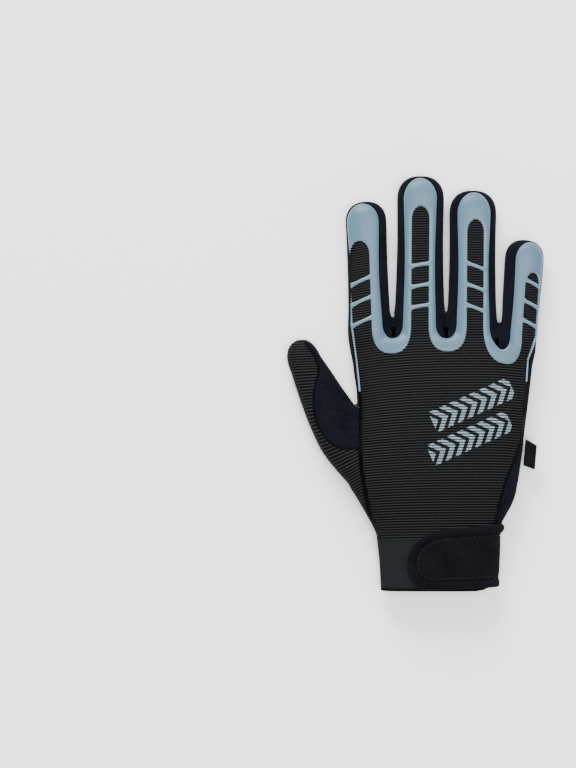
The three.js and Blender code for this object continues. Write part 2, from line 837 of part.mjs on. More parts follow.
function cuffBand() {
  const past = [...CUFF_SECTIONS, { ...CUFF_SECTIONS[2], at: 1.2 }];
  const bore = straightTube(past, CUFF, -CUFF_WALL, CUFF_HEIGHT / 2);
  return cuffTube(0, 0).subtract(bore).intersect(prism(cuffOutline(), BELOW, ABOVE));
}

// The strap's round end: where its two quarter curves meet and how long each is, as shares of the
// strap's height, and how square they are.
const STRAP_END = { centre: 0.375, lower: 0.375, upper: 0.85, roundness: 0.8 };

// The strap's outline: sewn into the little-finger side, with one round end over the cuff. Its top
// edge rises towards the sewn side.
function strapOutline(inset) {
  const right = CUFF_SECTIONS[2].right * CUFF_WIDTH + STRAP_THICKNESS;
  const left = right - STRAP_LENGTH + inset;
  const low = STRAP_RISE + inset;
  const high = STRAP_RISE + STRAP_HEIGHT - inset;
  const centre = lerp(low, high, STRAP_END.centre);
  const outline = [point(right, low + STRAP_CORNER)];
  for (let i = 0; i <= STRAP_END_POINTS; i += 1) {
    const angle = (Math.PI * i) / STRAP_END_POINTS - Math.PI / 2;
    const upper = angle > 0;
    const long = (high - low) * (upper ? STRAP_END.upper : STRAP_END.lower);
    const tall = upper ? high - STRAP_SHOULDER - centre : centre - low;
    const back = long * (1 - Math.cos(angle) ** STRAP_END.roundness);
    outline.push(point(left + back, centre + tall * Math.sin(angle)));
  }
  return [...outline, point(right, high)];
}

// The strap lies over the cuff and the heel of the hand, so it follows both.
function strapLayer(thickness) {
  const heel = handRows().slice(0, 5);
  const body = (grow) => straightTube(heel, HAND, grow, 0).add(cuffTube(grow, 0));
  return layer(thickness, body);
}

function strapCore() {
  const zone = prism(strapOutline(BINDING_WIDTH), CUFF_THICKNESS * WIDEST_LEVEL, ABOVE);
  return strapLayer(STRAP_CORE_THICKNESS).intersect(zone);
}

function strapBinding() {
  const floor = CUFF_THICKNESS * WIDEST_LEVEL;
  const whole = prism(strapOutline(0), floor, ABOVE);
  return strapLayer(STRAP_THICKNESS)
    .intersect(whole)
    .subtract(prism(strapOutline(BINDING_WIDTH - SEAM_GAP), BELOW, ABOVE));
}

// A folded tape caught in the seam on the little-finger side.
function sideTag() {
  const at = atHand(TAG_PLACE.x, TAG_PLACE.y);
  const low = HAND_THICKNESS * WIDEST_LEVEL;
  const across = point(Math.cos(TAG_LEAN), Math.sin(TAG_LEAN));
  const along = point(-Math.sin(TAG_SWING), Math.cos(TAG_SWING));
  const corner = (u, v) => at.clone().addScaledVector(across, u).addScaledVector(along, v);
  const half = TAG_LENGTH / 2;
  const outline = [
    corner(-CLOTH * 2, -half),
    corner(TAG_REACH, -half + TAG_ROUND),
    corner(TAG_REACH, half - TAG_ROUND * 2),
    corner(TAG_REACH - TAG_ROUND, half),
    corner(-CLOTH * 2, half),
  ];
  return prism(outline, low, low + TAG_THICKNESS).subtract(gloveBody(SEAM_GAP));
}

// Finishes from the photograph.
const finish = (color, roughness, metalness = 0) =>
  new THREE.MeshStandardMaterial({ color, roughness, metalness });
const ribbedCloth = finish(0x1b1d1c, 0.9);
const suede = finish(0x1c1f2c, 0.95);
const rubber = finish(0x86a0ab, 0.45);
const elastic = finish(0x23282a, 0.85);
const neoprene = finish(0x14161b, 0.8);
const tape = finish(0x101214, 0.6);
const patchCloth = finish(0x10150f, 0.8);

// The faceted mesh of a finished solid. Cuts that cross at a seam can leave a crumb of cloth beside
// the panel, so only the largest body is kept.
function meshOf(name, solid, material) {
  const bodies = solid.decompose().sort((a, b) => b.volume() - a.volume());
  const { vertProperties, triVerts } = bodies[0].getMesh();
  const geometry = new THREE.BufferGeometry();
  geometry.setAttribute("position", new THREE.BufferAttribute(vertProperties, 3));
  geometry.setIndex(new THREE.BufferAttribute(triVerts, 1));
  geometry.computeVertexNormals();
  const mesh = new THREE.Mesh(geometry, material);
  mesh.name = name;
  return mesh;
}

const glove = new THREE.Group();
glove.add(
  meshOf("back_panel", backPanel(), ribbedCloth),
  meshOf("palm_panel", palmPanel(), suede),
  meshOf("thumb_back", thumbBack(), ribbedCloth),
  meshOf("thumb_gusset", thumbGusset(), suede),
  meshOf("finger_guard", fingerGuard(), rubber),
  meshOf("touch_patch", touchPatch(), patchCloth),
  meshOf("cuff_band", cuffBand(), elastic),
  meshOf("strap_core", strapCore(), neoprene),
  meshOf("strap_binding", strapBinding(), neoprene),
  meshOf("side_tag", sideTag(), tape),
);
[0, 1, 2].forEach((i) => {
  const [left, right] = [FINGERS[i], FINGERS[i + 1]];
  glove.add(meshOf(`fourchette_${left.name}_${right.name}`, fourchette(left, right), suede));
});
palmPads().forEach((pad, i) => glove.add(meshOf(`palm_pad_${i + 1}`, pad, suede)));

// The origin is the middle of the glove's bounding box, on the surface that it lies on.
const box = new THREE.Box3().setFromObject(glove);
const middle = box.getCenter(new THREE.Vector3());
glove.position.set(-middle.x, -middle.y, -box.min.z);

export default glove;
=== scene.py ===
# %% [markdown]
# # A mechanic's work glove, dressed around its imported solids
# The glove lies palm down with its fingers along +Y. Its solids say where every panel is and how thick
# it is. This lesson gives each panel its real surface: ribs, suede, rubber, gel pads and thread.
# The first cell loads the solids as a fixed frame, in metres.

# %% Load the solids
import json
import math

import bmesh
import bpy
import numpy as np
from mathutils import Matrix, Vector
from mathutils.bvhtree import BVHTree
from mathutils.geometry import delaunay_2d_cdt
from mathutils.kdtree import KDTree

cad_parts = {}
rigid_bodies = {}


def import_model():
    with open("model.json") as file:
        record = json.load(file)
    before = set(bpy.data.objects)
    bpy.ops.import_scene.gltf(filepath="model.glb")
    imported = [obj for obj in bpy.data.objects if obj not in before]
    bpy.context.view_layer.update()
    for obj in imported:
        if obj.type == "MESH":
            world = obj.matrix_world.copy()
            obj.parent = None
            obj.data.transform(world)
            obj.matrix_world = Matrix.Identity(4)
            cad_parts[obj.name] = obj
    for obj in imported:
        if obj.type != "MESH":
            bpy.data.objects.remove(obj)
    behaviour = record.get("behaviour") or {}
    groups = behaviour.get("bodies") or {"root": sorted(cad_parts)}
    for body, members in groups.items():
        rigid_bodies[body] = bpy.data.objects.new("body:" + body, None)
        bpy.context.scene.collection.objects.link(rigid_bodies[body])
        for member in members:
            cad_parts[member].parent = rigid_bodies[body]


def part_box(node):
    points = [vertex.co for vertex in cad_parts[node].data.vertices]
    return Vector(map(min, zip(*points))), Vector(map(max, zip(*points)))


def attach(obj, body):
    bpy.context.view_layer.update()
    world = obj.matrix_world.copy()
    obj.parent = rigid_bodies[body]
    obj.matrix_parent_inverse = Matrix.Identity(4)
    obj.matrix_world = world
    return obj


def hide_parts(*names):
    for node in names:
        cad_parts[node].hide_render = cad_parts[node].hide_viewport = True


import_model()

bpy.context.view_layer.update()

# %% [markdown]
# ## The glover's measurements
# A glove is cut from a pattern, and the pattern is a handful of measurements. They are given here in
# millimetres, in the pattern's own frame: X = 0 on the middle of the hand, Y = 0 on the cuff's edge.
# One shift then carries every point into the frame of the solids, found from two corners of theirs.

# %% Measurements
CLOTH = 1.6
SEAM_GAP = 0.3
PAD_THICKNESS = 1.6
PALM_LIFT = PAD_THICKNESS + SEAM_GAP
PALM_SEAM_HEIGHT = PALM_LIFT + CLOTH + 0.5
CUFF_HEIGHT, CUFF_WIDTH, CUFF_THICKNESS, CUFF_WALL, CUFF_CORNER = 32, 70, 21, 1.8, 10
HAND_LENGTH, HAND_WIDTH, HAND_THICKNESS = 114, 106, 25
FINGER_LENGTH, FINGER_THICKNESS, TIP_LIFT = 94.2, 19.5, 1.6
WEB_DEPTH = 8
THUMB_LENGTH, THUMB_WIDTH, THUMB_THICKNESS = 0.807 * HAND_LENGTH, 29.5, 21
THUMB_LEAN = math.radians(27.4)
TOP_ROUNDNESS, FLOOR_ROUNDNESS, FLOOR_DIP, WIDEST_LEVEL, TIP_ROUNDNESS = 2.5, 2.6, 1.12, 0.42, 2.3

pad_left_in_pattern = -0.169 * HAND_WIDTH
SHIFT = np.array([
    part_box("palm_pad_1")[0].x * 1000 - pad_left_in_pattern,
    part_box("cuff_band")[0].y * 1000,
    0.0,
])
print("pattern to frame shift, mm:", SHIFT.round(3))

# %% [markdown]
# ## Sections of the hand, the fingers and the thumb
# Each table is one tube: a column for every measure and a row for every section along it. Widths and
# heights are shares of the tube's own size. `eased` runs a smooth curve through a column, so a few
# rows give a smooth silhouette.

# %% Section tables
HAND = {
    "at": [0, 0.066, 0.179, 0.282, 0.405, 0.538, 0.672, 0.846, 1, 1.046, 1.077],
    "left": [-0.3454, -0.378, -0.447, -0.51, -0.52, -0.476, -0.454, -0.472, -0.486, -0.47, -0.45],
    "right": [0.3104, 0.34, 0.403, 0.428, 0.447, 0.465, 0.482, 0.503, 0.517, 0.49, 0.46],
    "top": [0.84, 0.88, 0.95, 0.99, 1, 1, 0.98, 0.91, 0.8, 0.66, 0.45],
    "floor": [0.1, 0.7, 1, 1, 1, 1, 1, 1, 1, 1.6, 2.6],
}
CUFF = {
    "at": [0, 0.5, 1],
    "left": [-0.488, -0.5, -0.523],
    "right": [0.455, 0.462, 0.47],
    "top": [0.96, 0.97, 1],
    "floor": [0, 0, 0],
}
THUMB = {
    "at": [0, 0.17, 0.3, 0.46, 0.6, 0.72, 0.84],
    "left": [-0.3, -0.44, -0.51, -0.5, -0.455, -0.4, -0.335],
    "right": [0.34, 0.47, 0.49, 0.48, 0.42, 0.38, 0.33],
    "top": [0.9, 1.02, 1, 0.95, 0.89, 0.83, 0.77],
    "floor": [1.6, 1, 0.4, 0, 0, 0.2, 0.5],
}
FINGER_AT = [-0.17, 0, 0.25, 0.6]
FINGER_WIDE = [0.84, 1, 0.98, 0.98]
FINGER_TOP = [0.8, 1, 0.97, 0.91]
FINGER_FLOOR = [1.9, 0.7, 0, 0.3]
TIP_TOP, TIP_FLOOR = 0.86, 0.8


def eased(at, values, where):
    """A smooth curve through a column of a table, held level past its ends."""
    at, values = np.asarray(at, float), np.asarray(values, float)
    where = np.clip(where, at[0], at[-1])
    slopes = np.gradient(values, at)
    i = np.clip(np.searchsorted(at, where) - 1, 0, len(at) - 2)
    width = at[i + 1] - at[i]
    t = (where - at[i]) / width
    start = (2 * t**3 - 3 * t**2 + 1) * values[i] + (t**3 - 2 * t**2 + t) * width * slopes[i]
    end = (3 * t**2 - 2 * t**3) * values[i + 1] + (t**3 - t**2) * width * slopes[i + 1]
    return start + end


def measures(table, at):
    """A tube's left, right, top and floor at a share of its length."""
    return [eased(table["at"], table[column], at) for column in ("left", "right", "top", "floor")]


print("sections:", len(HAND["at"]), "of the hand,", len(THUMB["at"]), "of the thumb")

# %% [markdown]
# ## The four fingers
# A finger leaves the knuckles at its root and leans a little. Besides its size, each row says which
# part of the back is ribbed (`strip`), where the rubber guard is open (`window`), and where its bars
# and the air holes are.

# %% Finger table
FINGERS = [
    dict(name="index", root=-0.381, level=0, length=0.843, lean=-1.95, wide=(0.238, 0.2245),
         strip=(-0.93, 0.63), waist=0.08, window=(-0.84, 0.09), window_top=0.71,
         bars=(0.418, 0.273, 0.123), slope=0.43, holes=(0.083, 0.491), hole_shift=-0.09),
    dict(name="middle", root=-0.111, level=0, length=1, lean=0.49, wide=(0.287, 0.2566),
         strip=(-0.74, 0.69), waist=0.06, window=(-0.38, 0.36), window_top=0.81,
         bars=(0.45, 0.322, 0.196), slope=0.18, holes=(0.094, 0.282, 0.47, 0.658), hole_shift=0.24),
    dict(name="ring", root=0.1745, level=0, length=0.911, lean=0.53, wide=(0.279, 0.2566),
         strip=(-0.69, 0.74), waist=0.06, window=(-0.25, 0.45), window_top=0.8,
         bars=(0.483, 0.341, 0.202), slope=-0.36, holes=(0.084, 0.284, 0.485, 0.685), hole_shift=0.05),
    dict(name="little", root=0.427, level=-0.05, length=0.669, lean=4.2, wide=(0.193, 0.2151),
         strip=(-0.5, 0.93), waist=0.04, window=(0.1, 0.8), window_top=0.7,
         bars=(0.598, 0.406, 0.229), slope=-0.45, holes=(0.098, 0.384, 0.67), hole_shift=0.34),
]
for finger in FINGERS:
    lean = math.radians(finger["lean"])
    finger["length"] *= FINGER_LENGTH
    finger["wide"] = tuple(share * HAND_WIDTH for share in finger["wide"])
    finger["tip"] = finger["wide"][1] / 2
    finger["along"] = np.array([math.sin(lean), math.cos(lean)])
    finger["across"] = np.array([math.cos(lean), -math.sin(lean)])
    finger["origin"] = np.array([
        finger["root"] * HAND_WIDTH,
        CUFF_HEIGHT + HAND_LENGTH * (1 + finger["level"]),
    ])
THUMB_ALONG = np.array([-math.sin(THUMB_LEAN), math.cos(THUMB_LEAN)])
THUMB_ACROSS = np.array([THUMB_ALONG[1], -THUMB_ALONG[0]])
THUMB_ROOT = np.array([-0.395 * HAND_WIDTH, CUFF_HEIGHT + 0.268 * HAND_LENGTH])


def on_finger(finger, at, offset):
    """A point in plan, from a share of the finger's length and a distance across it."""
    return finger["origin"] + finger["along"] * at * finger["length"] + finger["across"] * offset


def on_thumb(at, off):
    """A point in plan, from a share of the thumb's length and a share of its width across it."""
    return THUMB_ROOT + THUMB_ALONG * at * THUMB_LENGTH + THUMB_ACROSS * off * THUMB_WIDTH


def at_hand(x, y):
    """A point in plan, from shares of the hand's width and length."""
    return np.array([x * HAND_WIDTH, CUFF_HEIGHT + y * HAND_LENGTH])


print("finger lengths, mm:", [round(finger["length"], 1) for finger in FINGERS])

# %% [markdown]
# ## Lofting a tube
# Every section is a squarish arch over a flattened bowl. `ring` draws one section and `tube` joins a
# run of them into a closed mesh. `grow` moves the surface out, or in when it is negative, which is how
# the inside of the skin is made from the same tables.

# %% One ring
def ring(base, across, left, right, floor, top, grow=0.0, count=56):
    """A section between left and right of its base, from the floor up to the top."""
    half, middle = (right - left) / 2 + grow, (left + right) / 2
    side = floor + (top - floor) * WIDEST_LEVEL
    angle = 2 * np.pi * np.arange(count) / count
    cosine, sine = np.cos(angle), np.sin(angle)
    power = np.where(sine >= 0, 2 / TOP_ROUNDNESS, 2 / FLOOR_ROUNDNESS)
    offset = middle + half * np.sign(cosine) * np.abs(cosine) ** power
    reach = np.abs(sine) ** power
    low = np.maximum(floor - grow, side - (side - floor + grow) * FLOOR_DIP * reach)
    height = np.where(sine >= 0, side + (top + grow - side) * reach, low)
    return np.column_stack([base[0] + across[0] * offset, base[1] + across[1] * offset, height])


print("a ring of the cuff has", len(ring((0, 0), (1, 0), -35, 35, 0, 21)), "points")


# %% Tubes with rounded tips
TIP_TURN = 0.985


def tube(rings):
    """Points and faces of a closed tube through rings of equal count."""
    count, rows = len(rings[0]), len(rings)
    points = np.concatenate(rings)
    i = np.arange(count)
    j = (i + 1) % count
    faces = []
    for r in range(rows - 1):
        a, b = r * count, (r + 1) * count
        faces += np.column_stack([a + i, b + i, b + j, a + j]).tolist()
    faces.append(list(range(count)))
    faces.append(list(range(rows * count - 1, (rows - 1) * count - 1, -1)))
    return points, faces


def tip_rings(base, along, across, left, right, floor, top, reach, grow, shift, count, steps=12):
    """Rings that round off a tube: each is a smaller copy of its last full section."""
    rings = []
    side = floor + (top - floor) * WIDEST_LEVEL
    for angle in np.linspace(0, TIP_TURN * np.pi / 2, steps + 1)[1:]:
        shrink = math.cos(angle) ** (2 / TIP_ROUNDNESS)
        ahead = math.sin(angle) ** (2 / TIP_ROUNDNESS)
        middle = (left + right) / 2 + shift * ahead
        half = ((right - left) / 2 + grow) * shrink
        rings.append(ring(
            base + along * (reach + grow) * ahead, across, middle - half, middle + half,
            side - (side - floor + grow) * shrink, side + (top - side + grow) * shrink, 0.0, count,
        ))
    return rings


# %% Finger and thumb tubes
TUBE_ROWS, HAND_ROWS = 60, 90
THUMB_TIP_TURN = 0.03


def finger_tube(finger, grow):
    reach = finger["tip"]
    last = 1 - reach / finger["length"]
    at = FINGER_AT + [last]
    share = np.clip(np.array(at) * 2, 0, 1)
    full = finger["wide"][0] + (finger["wide"][1] - finger["wide"][0]) * share
    half = full * np.array(FINGER_WIDE + [1]) / 2
    rings = []
    for s in np.linspace(at[0], last, TUBE_ROWS):
        width = eased(at, half, s)
        top = eased(at, FINGER_TOP + [TIP_TOP], s) * FINGER_THICKNESS
        floor = eased(at, FINGER_FLOOR + [TIP_FLOOR], s) * TIP_LIFT
        rings.append(ring(on_finger(finger, s, 0), finger["across"], -width, width, floor, top, grow))
    end = (TIP_FLOOR * TIP_LIFT, TIP_TOP * FINGER_THICKNESS)
    rings += tip_rings(on_finger(finger, last, 0), finger["along"], finger["across"],
                       -half[-1], half[-1], *end, reach, grow, 0.0, len(rings[0]))
    return tube(rings)


def thumb_tube(grow):
    rings = []
    for s in np.linspace(-grow / THUMB_LENGTH, THUMB["at"][-1], TUBE_ROWS):
        left, right, top, floor = measures(THUMB, s)
        section = (left * THUMB_WIDTH, right * THUMB_WIDTH, floor * TIP_LIFT, top * THUMB_THICKNESS)
        rings.append(ring(on_thumb(s, 0), THUMB_ACROSS, *section, grow))
    reach = THUMB_LENGTH * (1 - THUMB["at"][-1])
    rings += tip_rings(on_thumb(THUMB["at"][-1], 0), THUMB_ALONG, THUMB_ACROSS, *section,
                       reach, grow, THUMB_TIP_TURN * THUMB_WIDTH, len(rings[0]))
    return tube(rings)


print("index finger tube:", len(finger_tube(FINGERS[0], 0)[0]), "points")


# %% Hand and cuff sections
def straight_section(table, y, start, length, width, thickness, lift, grow, count=96):
    """The section at y of a tube that runs straight up the pattern."""
    left, right, top, floor = measures(table, (y - start) / length)
    return ring((0, y), (1, 0), left * width, right * width, floor * lift, top * thickness, grow, count)


def hand_section(y, grow, count=96):
    size = (CUFF_HEIGHT, HAND_LENGTH, HAND_WIDTH, HAND_THICKNESS, PALM_LIFT)
    return straight_section(HAND, y, *size, grow, count)


def cuff_section(y, grow, count=96):
    return straight_section(CUFF, y, 0, CUFF_HEIGHT, CUFF_WIDTH, CUFF_THICKNESS, 0, grow, count)


def hand_tube(grow, extend):
    last = CUFF_HEIGHT + HAND_LENGTH * HAND["at"][-1]
    levels = np.linspace(CUFF_HEIGHT, last, HAND_ROWS)
    rings = [hand_section(y, grow) for y in levels]
    rings[0][:, 1] -= extend
    return tube(rings)


print("hand tube:", len(hand_tube(0, 0)[0]), "points")

# %% [markdown]
# ## Making pieces
# A few helpers turn points into Blender meshes and cut one mesh with another. The exact manifold
# solver keeps crisp seams, and `keep_largest` sweeps up the crumbs that a cut can leave behind.

# %% Points in and out of a mesh
def piece_from(name, points, faces, smooth=True):
    mesh = bpy.data.meshes.new(name)
    mesh.from_pydata(((np.asarray(points) + SHIFT) / 1000).tolist(), [], faces)
    mesh.polygons.foreach_set("use_smooth", [smooth] * len(mesh.polygons))
    piece = bpy.data.objects.new(name, mesh)
    bpy.context.scene.collection.objects.link(piece)
    return piece


def points_of(piece):
    flat = np.empty(len(piece.data.vertices) * 3)
    piece.data.vertices.foreach_get("co", flat)
    return flat.reshape(-1, 3) * 1000 - SHIFT


def set_points(piece, points):
    piece.data.vertices.foreach_set("co", ((points + SHIFT) / 1000).ravel())
    piece.data.update()


def normals_of(piece):
    flat = np.empty(len(piece.data.vertices) * 3)
    piece.data.vertices.foreach_get("normal", flat)
    return flat.reshape(-1, 3)


# %% Cutting and joining
def applied(piece):
    """Replaces a piece's mesh by what its modifiers make of it."""
    graph = bpy.context.evaluated_depsgraph_get()
    mesh = bpy.data.meshes.new_from_object(piece.evaluated_get(graph))
    piece.modifiers.clear()
    piece.data = mesh
    mesh.name = piece.name
    return piece


def combine(piece, others, operation):
    for other in others:
        step = piece.modifiers.new("cut", "BOOLEAN")
        step.operation, step.object, step.solver = operation, other, "MANIFOLD"
    return applied(piece)


def copy_of(piece, name):
    twin = piece.copy()
    twin.data = piece.data.copy()
    twin.name = name
    bpy.context.scene.collection.objects.link(twin)
    return twin


def discard(*pieces):
    for piece in pieces:
        bpy.data.objects.remove(piece)


def keep_largest(piece):
    """Deletes every loose bit of a piece but its largest."""
    work = bmesh.new()
    work.from_mesh(piece.data)
    seen, islands = set(), []
    for start in work.verts:
        if start in seen:
            continue
        seen.add(start)
        island, front = [start], [start]
        while front:
            vert = front.pop()
            for edge in vert.link_edges:
                other = edge.other_vert(vert)
                if other not in seen:
                    seen.add(other)
                    island.append(other)
                    front.append(other)
        islands.append(island)
    islands.sort(key=len, reverse=True)
    bmesh.ops.delete(work, geom=[v for island in islands[1:] for v in island], context="VERTS")
    work.to_mesh(piece.data)
    work.free()
    return piece


# %% Prisms
def prism(name, outline, low, high):
    """A closed block that stands on an outline in plan, to cut with."""
    outline = np.asarray(outline)
    n = len(outline)
    x, y = outline.T
    points = np.concatenate([np.column_stack([outline, np.full(n, z)]) for z in (low, high)])
    sides = [[i, (i + 1) % n, n + (i + 1) % n, n + i] for i in range(n)]
    area = np.sum(x * np.roll(y, -1) - np.roll(x, -1) * y)
    bottom, top = list(range(n))[::-1], list(range(n, 2 * n))
    if area < 0:
        sides, bottom, top = [s[::-1] for s in sides], bottom[::-1], top[::-1]
    return piece_from(name, points, sides + [bottom, top], smooth=False)


# %% [markdown]
# ## The body of the glove
# The hand, the four fingers and the thumb are joined into one body. A voxel remesh welds them into an
# even skin and a few smoothing steps round the hollows where they meet, as cloth does when it is
# stretched from one tube to the next. The same tubes, one cloth smaller, give the room inside.

# %% Outer and inner body
BELOW, ABOVE, OUTSIDE = -25, 75, 160


def body(name, grow, extend, voxel, smoothing):
    whole = piece_from(name, *hand_tube(grow, extend))
    limbs = [piece_from("limb", *finger_tube(finger, grow)) for finger in FINGERS]
    limbs.append(piece_from("limb", *thumb_tube(grow)))
    combine(whole, limbs, "UNION")
    discard(*limbs)
    remesh = whole.modifiers.new("weld", "REMESH")
    remesh.mode, remesh.voxel_size = "VOXEL", voxel / 1000
    smooth = whole.modifiers.new("soften", "SMOOTH")
    smooth.factor, smooth.iterations = 0.5, smoothing
    return applied(whole)


outer = body("outer_body", grow=0, extend=3, voxel=0.85, smoothing=5)
inner = body("inner_body", grow=-CLOTH, extend=CUFF_HEIGHT / 2, voxel=1.5, smoothing=2)
print("outer body:", len(outer.data.polygons), "faces, inner:", len(inner.data.polygons))

# %% [markdown]
# ## Seam lines in plan
# The seams are drawn on the flat pattern. The back is a comb: a ribbed strip up each finger, a round
# notch between two fingers, and a seam down each side of the hand. The guard's open window is a comb
# of the same kind, with narrower teeth and deeper notches, so one function draws both.

# %% Seam tables
SEAM_FOOT, LITTLE_KNUCKLE, INDEX_KNUCKLE = -0.129, 0.897, 0.895
LITTLE_SIDE = {"y": [SEAM_FOOT, 0.138, 0.252, 0.495, 0.698, LITTLE_KNUCKLE],
               "x": [0.305, 0.32, 0.353, 0.447, 0.469, 0.484]}
THUMB_SIDE = {"y": [SEAM_FOOT, 0, 0.1, 0.297, 0.437, 0.719, INDEX_KNUCKLE],
              "x": [-0.34, -0.343, -0.378, -0.424, -0.439, -0.443, -0.462]}
NOTCH = (1, 1, 1.4)
LOOP = (2.1, 1.95, 2.45)
WINDOW_END = 7.5
SIDE_LINE_WIDTH, SIDE_LINE_SHOWN, BAR_WIDTH, GUARD_THICKNESS = 1.3, 1.05, 2.3, 1.1
SIDE_LINE_FOOT = {"thumb": 0.73, "little": 0.78}
SIDE_LINES_FROM, LOOP_SQUARENESS = 0.5, 0.82


def side_seam(table, lowest, highest, step=0.5):
    rows = np.arange(lowest, highest, step / HAND_LENGTH)
    return np.array([at_hand(eased(table["y"], table["x"], y), y) for y in rows])


print("side seams:", len(side_seam(LITTLE_SIDE, SEAM_FOOT, LITTLE_KNUCKLE)), "points each")


# %% Combs
def half_ellipse(start, end, outward, depth, count=28, squareness=1.0):
    middle, arm = (start + end) / 2, (start - end) / 2
    angle = np.linspace(0, np.pi, count)[:, None]
    cosine, sine = np.cos(angle), np.sin(angle)
    across = np.sign(cosine) * np.abs(cosine) ** squareness
    return middle + arm * across + np.asarray(outward) * depth * np.clip(sine, 0, 1) ** squareness


def comb_tooth(finger, edges, waist, top_share, end_depth, grow):
    """A strip up a finger, drawn in a little at its waist, with a round end."""
    half = finger["tip"]
    left, right = edges[0] * half - grow, edges[1] * half + grow
    low = WEB_DEPTH / finger["length"]
    at = np.linspace(low, top_share, 100)
    pinch = eased([low, top_share * 0.55, top_share], [0, waist * half, 0], at)
    up = np.array([on_finger(finger, s, left + p) for s, p in zip(at, pinch)])
    down = np.array([on_finger(finger, s, right - p) for s, p in zip(at, pinch)])[::-1]
    over = half_ellipse(up[-1], down[0], finger["along"], end_depth + grow)
    return np.concatenate([up, over[1:-1], down])


def comb(tooth, depths, squareness=1.0):
    parts = []
    for i, finger in enumerate(FINGERS):
        teeth = tooth(finger)
        if i:
            dip = half_ellipse(parts[-1][-1], teeth[0], (0, -1), depths[i - 1], 28, squareness)
            parts.append(dip[1:-1])
        parts.append(teeth)
    return np.concatenate(parts)


def resampled(line, step, closed=False):
    """The same line with points a step apart."""
    line = np.asarray(line)
    if closed:
        line = np.concatenate([line, line[:1]])
    run = np.concatenate([[0], np.cumsum(np.linalg.norm(np.diff(line, axis=0), axis=1))])
    count = max(2, int(round(run[-1] / step)))
    at = np.linspace(0, run[-1], count + 1)[: count if closed else count + 1]
    return np.column_stack([np.interp(at, run, line[:, k]) for k in range(line.shape[1])])


# %% Outlines of the back and of the guard's window
def back_outline(grow):
    def tooth(finger):
        end = 1 - (finger["tip"] + SEAM_GAP) / finger["length"]
        depth = finger["tip"] - CLOTH * 0.7
        return comb_tooth(finger, finger["strip"], finger["waist"], end, depth, grow)
    right = side_seam(LITTLE_SIDE, SEAM_FOOT, LITTLE_KNUCKLE)[::-1] + (grow, 0)
    left = side_seam(THUMB_SIDE, SEAM_FOOT, INDEX_KNUCKLE) - (grow, 0)
    depths = [WEB_DEPTH * notch - grow for notch in NOTCH]
    return np.concatenate([comb(tooth, depths), right, left])


def window_outline():
    def tooth(finger):
        half = (finger["window"][1] - finger["window"][0]) * finger["tip"] / 2
        top = finger["window_top"] - WINDOW_END / finger["length"]
        return comb_tooth(finger, finger["window"], 0, top, max(WINDOW_END, half), 0)
    right = side_seam(LITTLE_SIDE, SIDE_LINES_FROM, LITTLE_KNUCKLE)[::-1] - (SIDE_LINE_SHOWN, 0)
    left = side_seam(THUMB_SIDE, SIDE_LINES_FROM, INDEX_KNUCKLE) + (SIDE_LINE_SHOWN, 0)
    depths = [WEB_DEPTH * loop for loop in LOOP]
    return np.concatenate([comb(tooth, depths, LOOP_SQUARENESS), right, left])


print("back outline:", len(back_outline(0)), "points, window:", len(window_outline()), "points")


# %% Seams of the thumb
def rounded(line, times=3):
    """Cuts the corners of an open line until it is a smooth curve."""
    for _ in range(times):
        quarter = line[:-1] * 0.75 + line[1:] * 0.25
        three = line[:-1] * 0.25 + line[1:] * 0.75
        line = np.concatenate([line[:1], np.stack([quarter, three], 1).reshape(-1, 2), line[-1:]])
    return line


THUMB_SEAM = rounded(np.array([on_thumb(at, off) for at, off in (
    (1.15, 0.14), (0.955, 0.2), (0.852, 0.24), (0.762, 0.2), (0.682, -0.06), (0.595, -0.22),
    (0.506, -0.32), (0.408, -0.33), (0.322, -0.27), (0.263, -0.13), (0.225, 0.16), (0.17, 0.75))]))
CROTCH_SEAM = rounded(np.array([on_thumb(at, off) for at, off in (
    (1.02, 0.16), (0.952, 0.2), (0.78, 0.278), (0.62, 0.29), (0.518, 0.362), (0.453, 0.456))]))
UNDER_THUMB = rounded(np.array([
    on_thumb(0.8, -0.54), on_thumb(0.57, -0.37), on_thumb(0.3, -0.32), at_hand(-0.506, 0.307),
    at_hand(-0.363, 0.158), at_hand(-0.274, 0.053), at_hand(-0.21, SEAM_FOOT)]))
print("thumb seam:", len(THUMB_SEAM), "points")

# %% [markdown]
# ## Seams pull the cloth in, and folds wrinkle it
# A seam is a valley, because its thread draws two edges down and inwards. Where the cloth is slack,
# as between the thumb and the hand, it lies in small folds. Both are moves of the skin's own points:
# a seam lowers what is near its line, and a fold is a valley between two soft ridges.

# %% Distances and folds in plan
def distance_to(line, points):
    """Each point's distance in plan to a line's samples."""
    tree = KDTree(len(line))
    for i, (x, y) in enumerate(line):
        tree.insert((x, y, 0), i)
    tree.balance()
    return np.array([tree.find((x, y, 0))[2] for x, y in points[:, :2]])


def inside(outline, points):
    """Which points in plan an outline holds."""
    x, y = points[:, 0], points[:, 1]
    held = np.zeros(len(points), bool)
    for (x0, y0), (x1, y1) in zip(outline, np.roll(outline, -1, axis=0)):
        if y0 != y1:
            held ^= ((y0 > y) != (y1 > y)) & (x < (x1 - x0) * (y - y0) / (y1 - y0) + x0)
    return held


def fold(points, start, end, width, depth):
    """How far a fold from start to end lowers each point."""
    start, end = np.asarray(start, float), np.asarray(end, float)
    run = end - start
    t = np.clip((points[:, :2] - start) @ run / (run @ run), 0, 1)
    away = np.linalg.norm(points[:, :2] - start - t[:, None] * run, axis=1) / width
    taper = np.sin(np.pi * (0.15 + 0.7 * t))
    return depth * taper * (1 - 1.2 * away**2) * np.exp(-(away**2))


print("share of its depth in a fold's middle:", fold(np.zeros((1, 3)), (-1, 0), (1, 0), 1, 1).round(2))

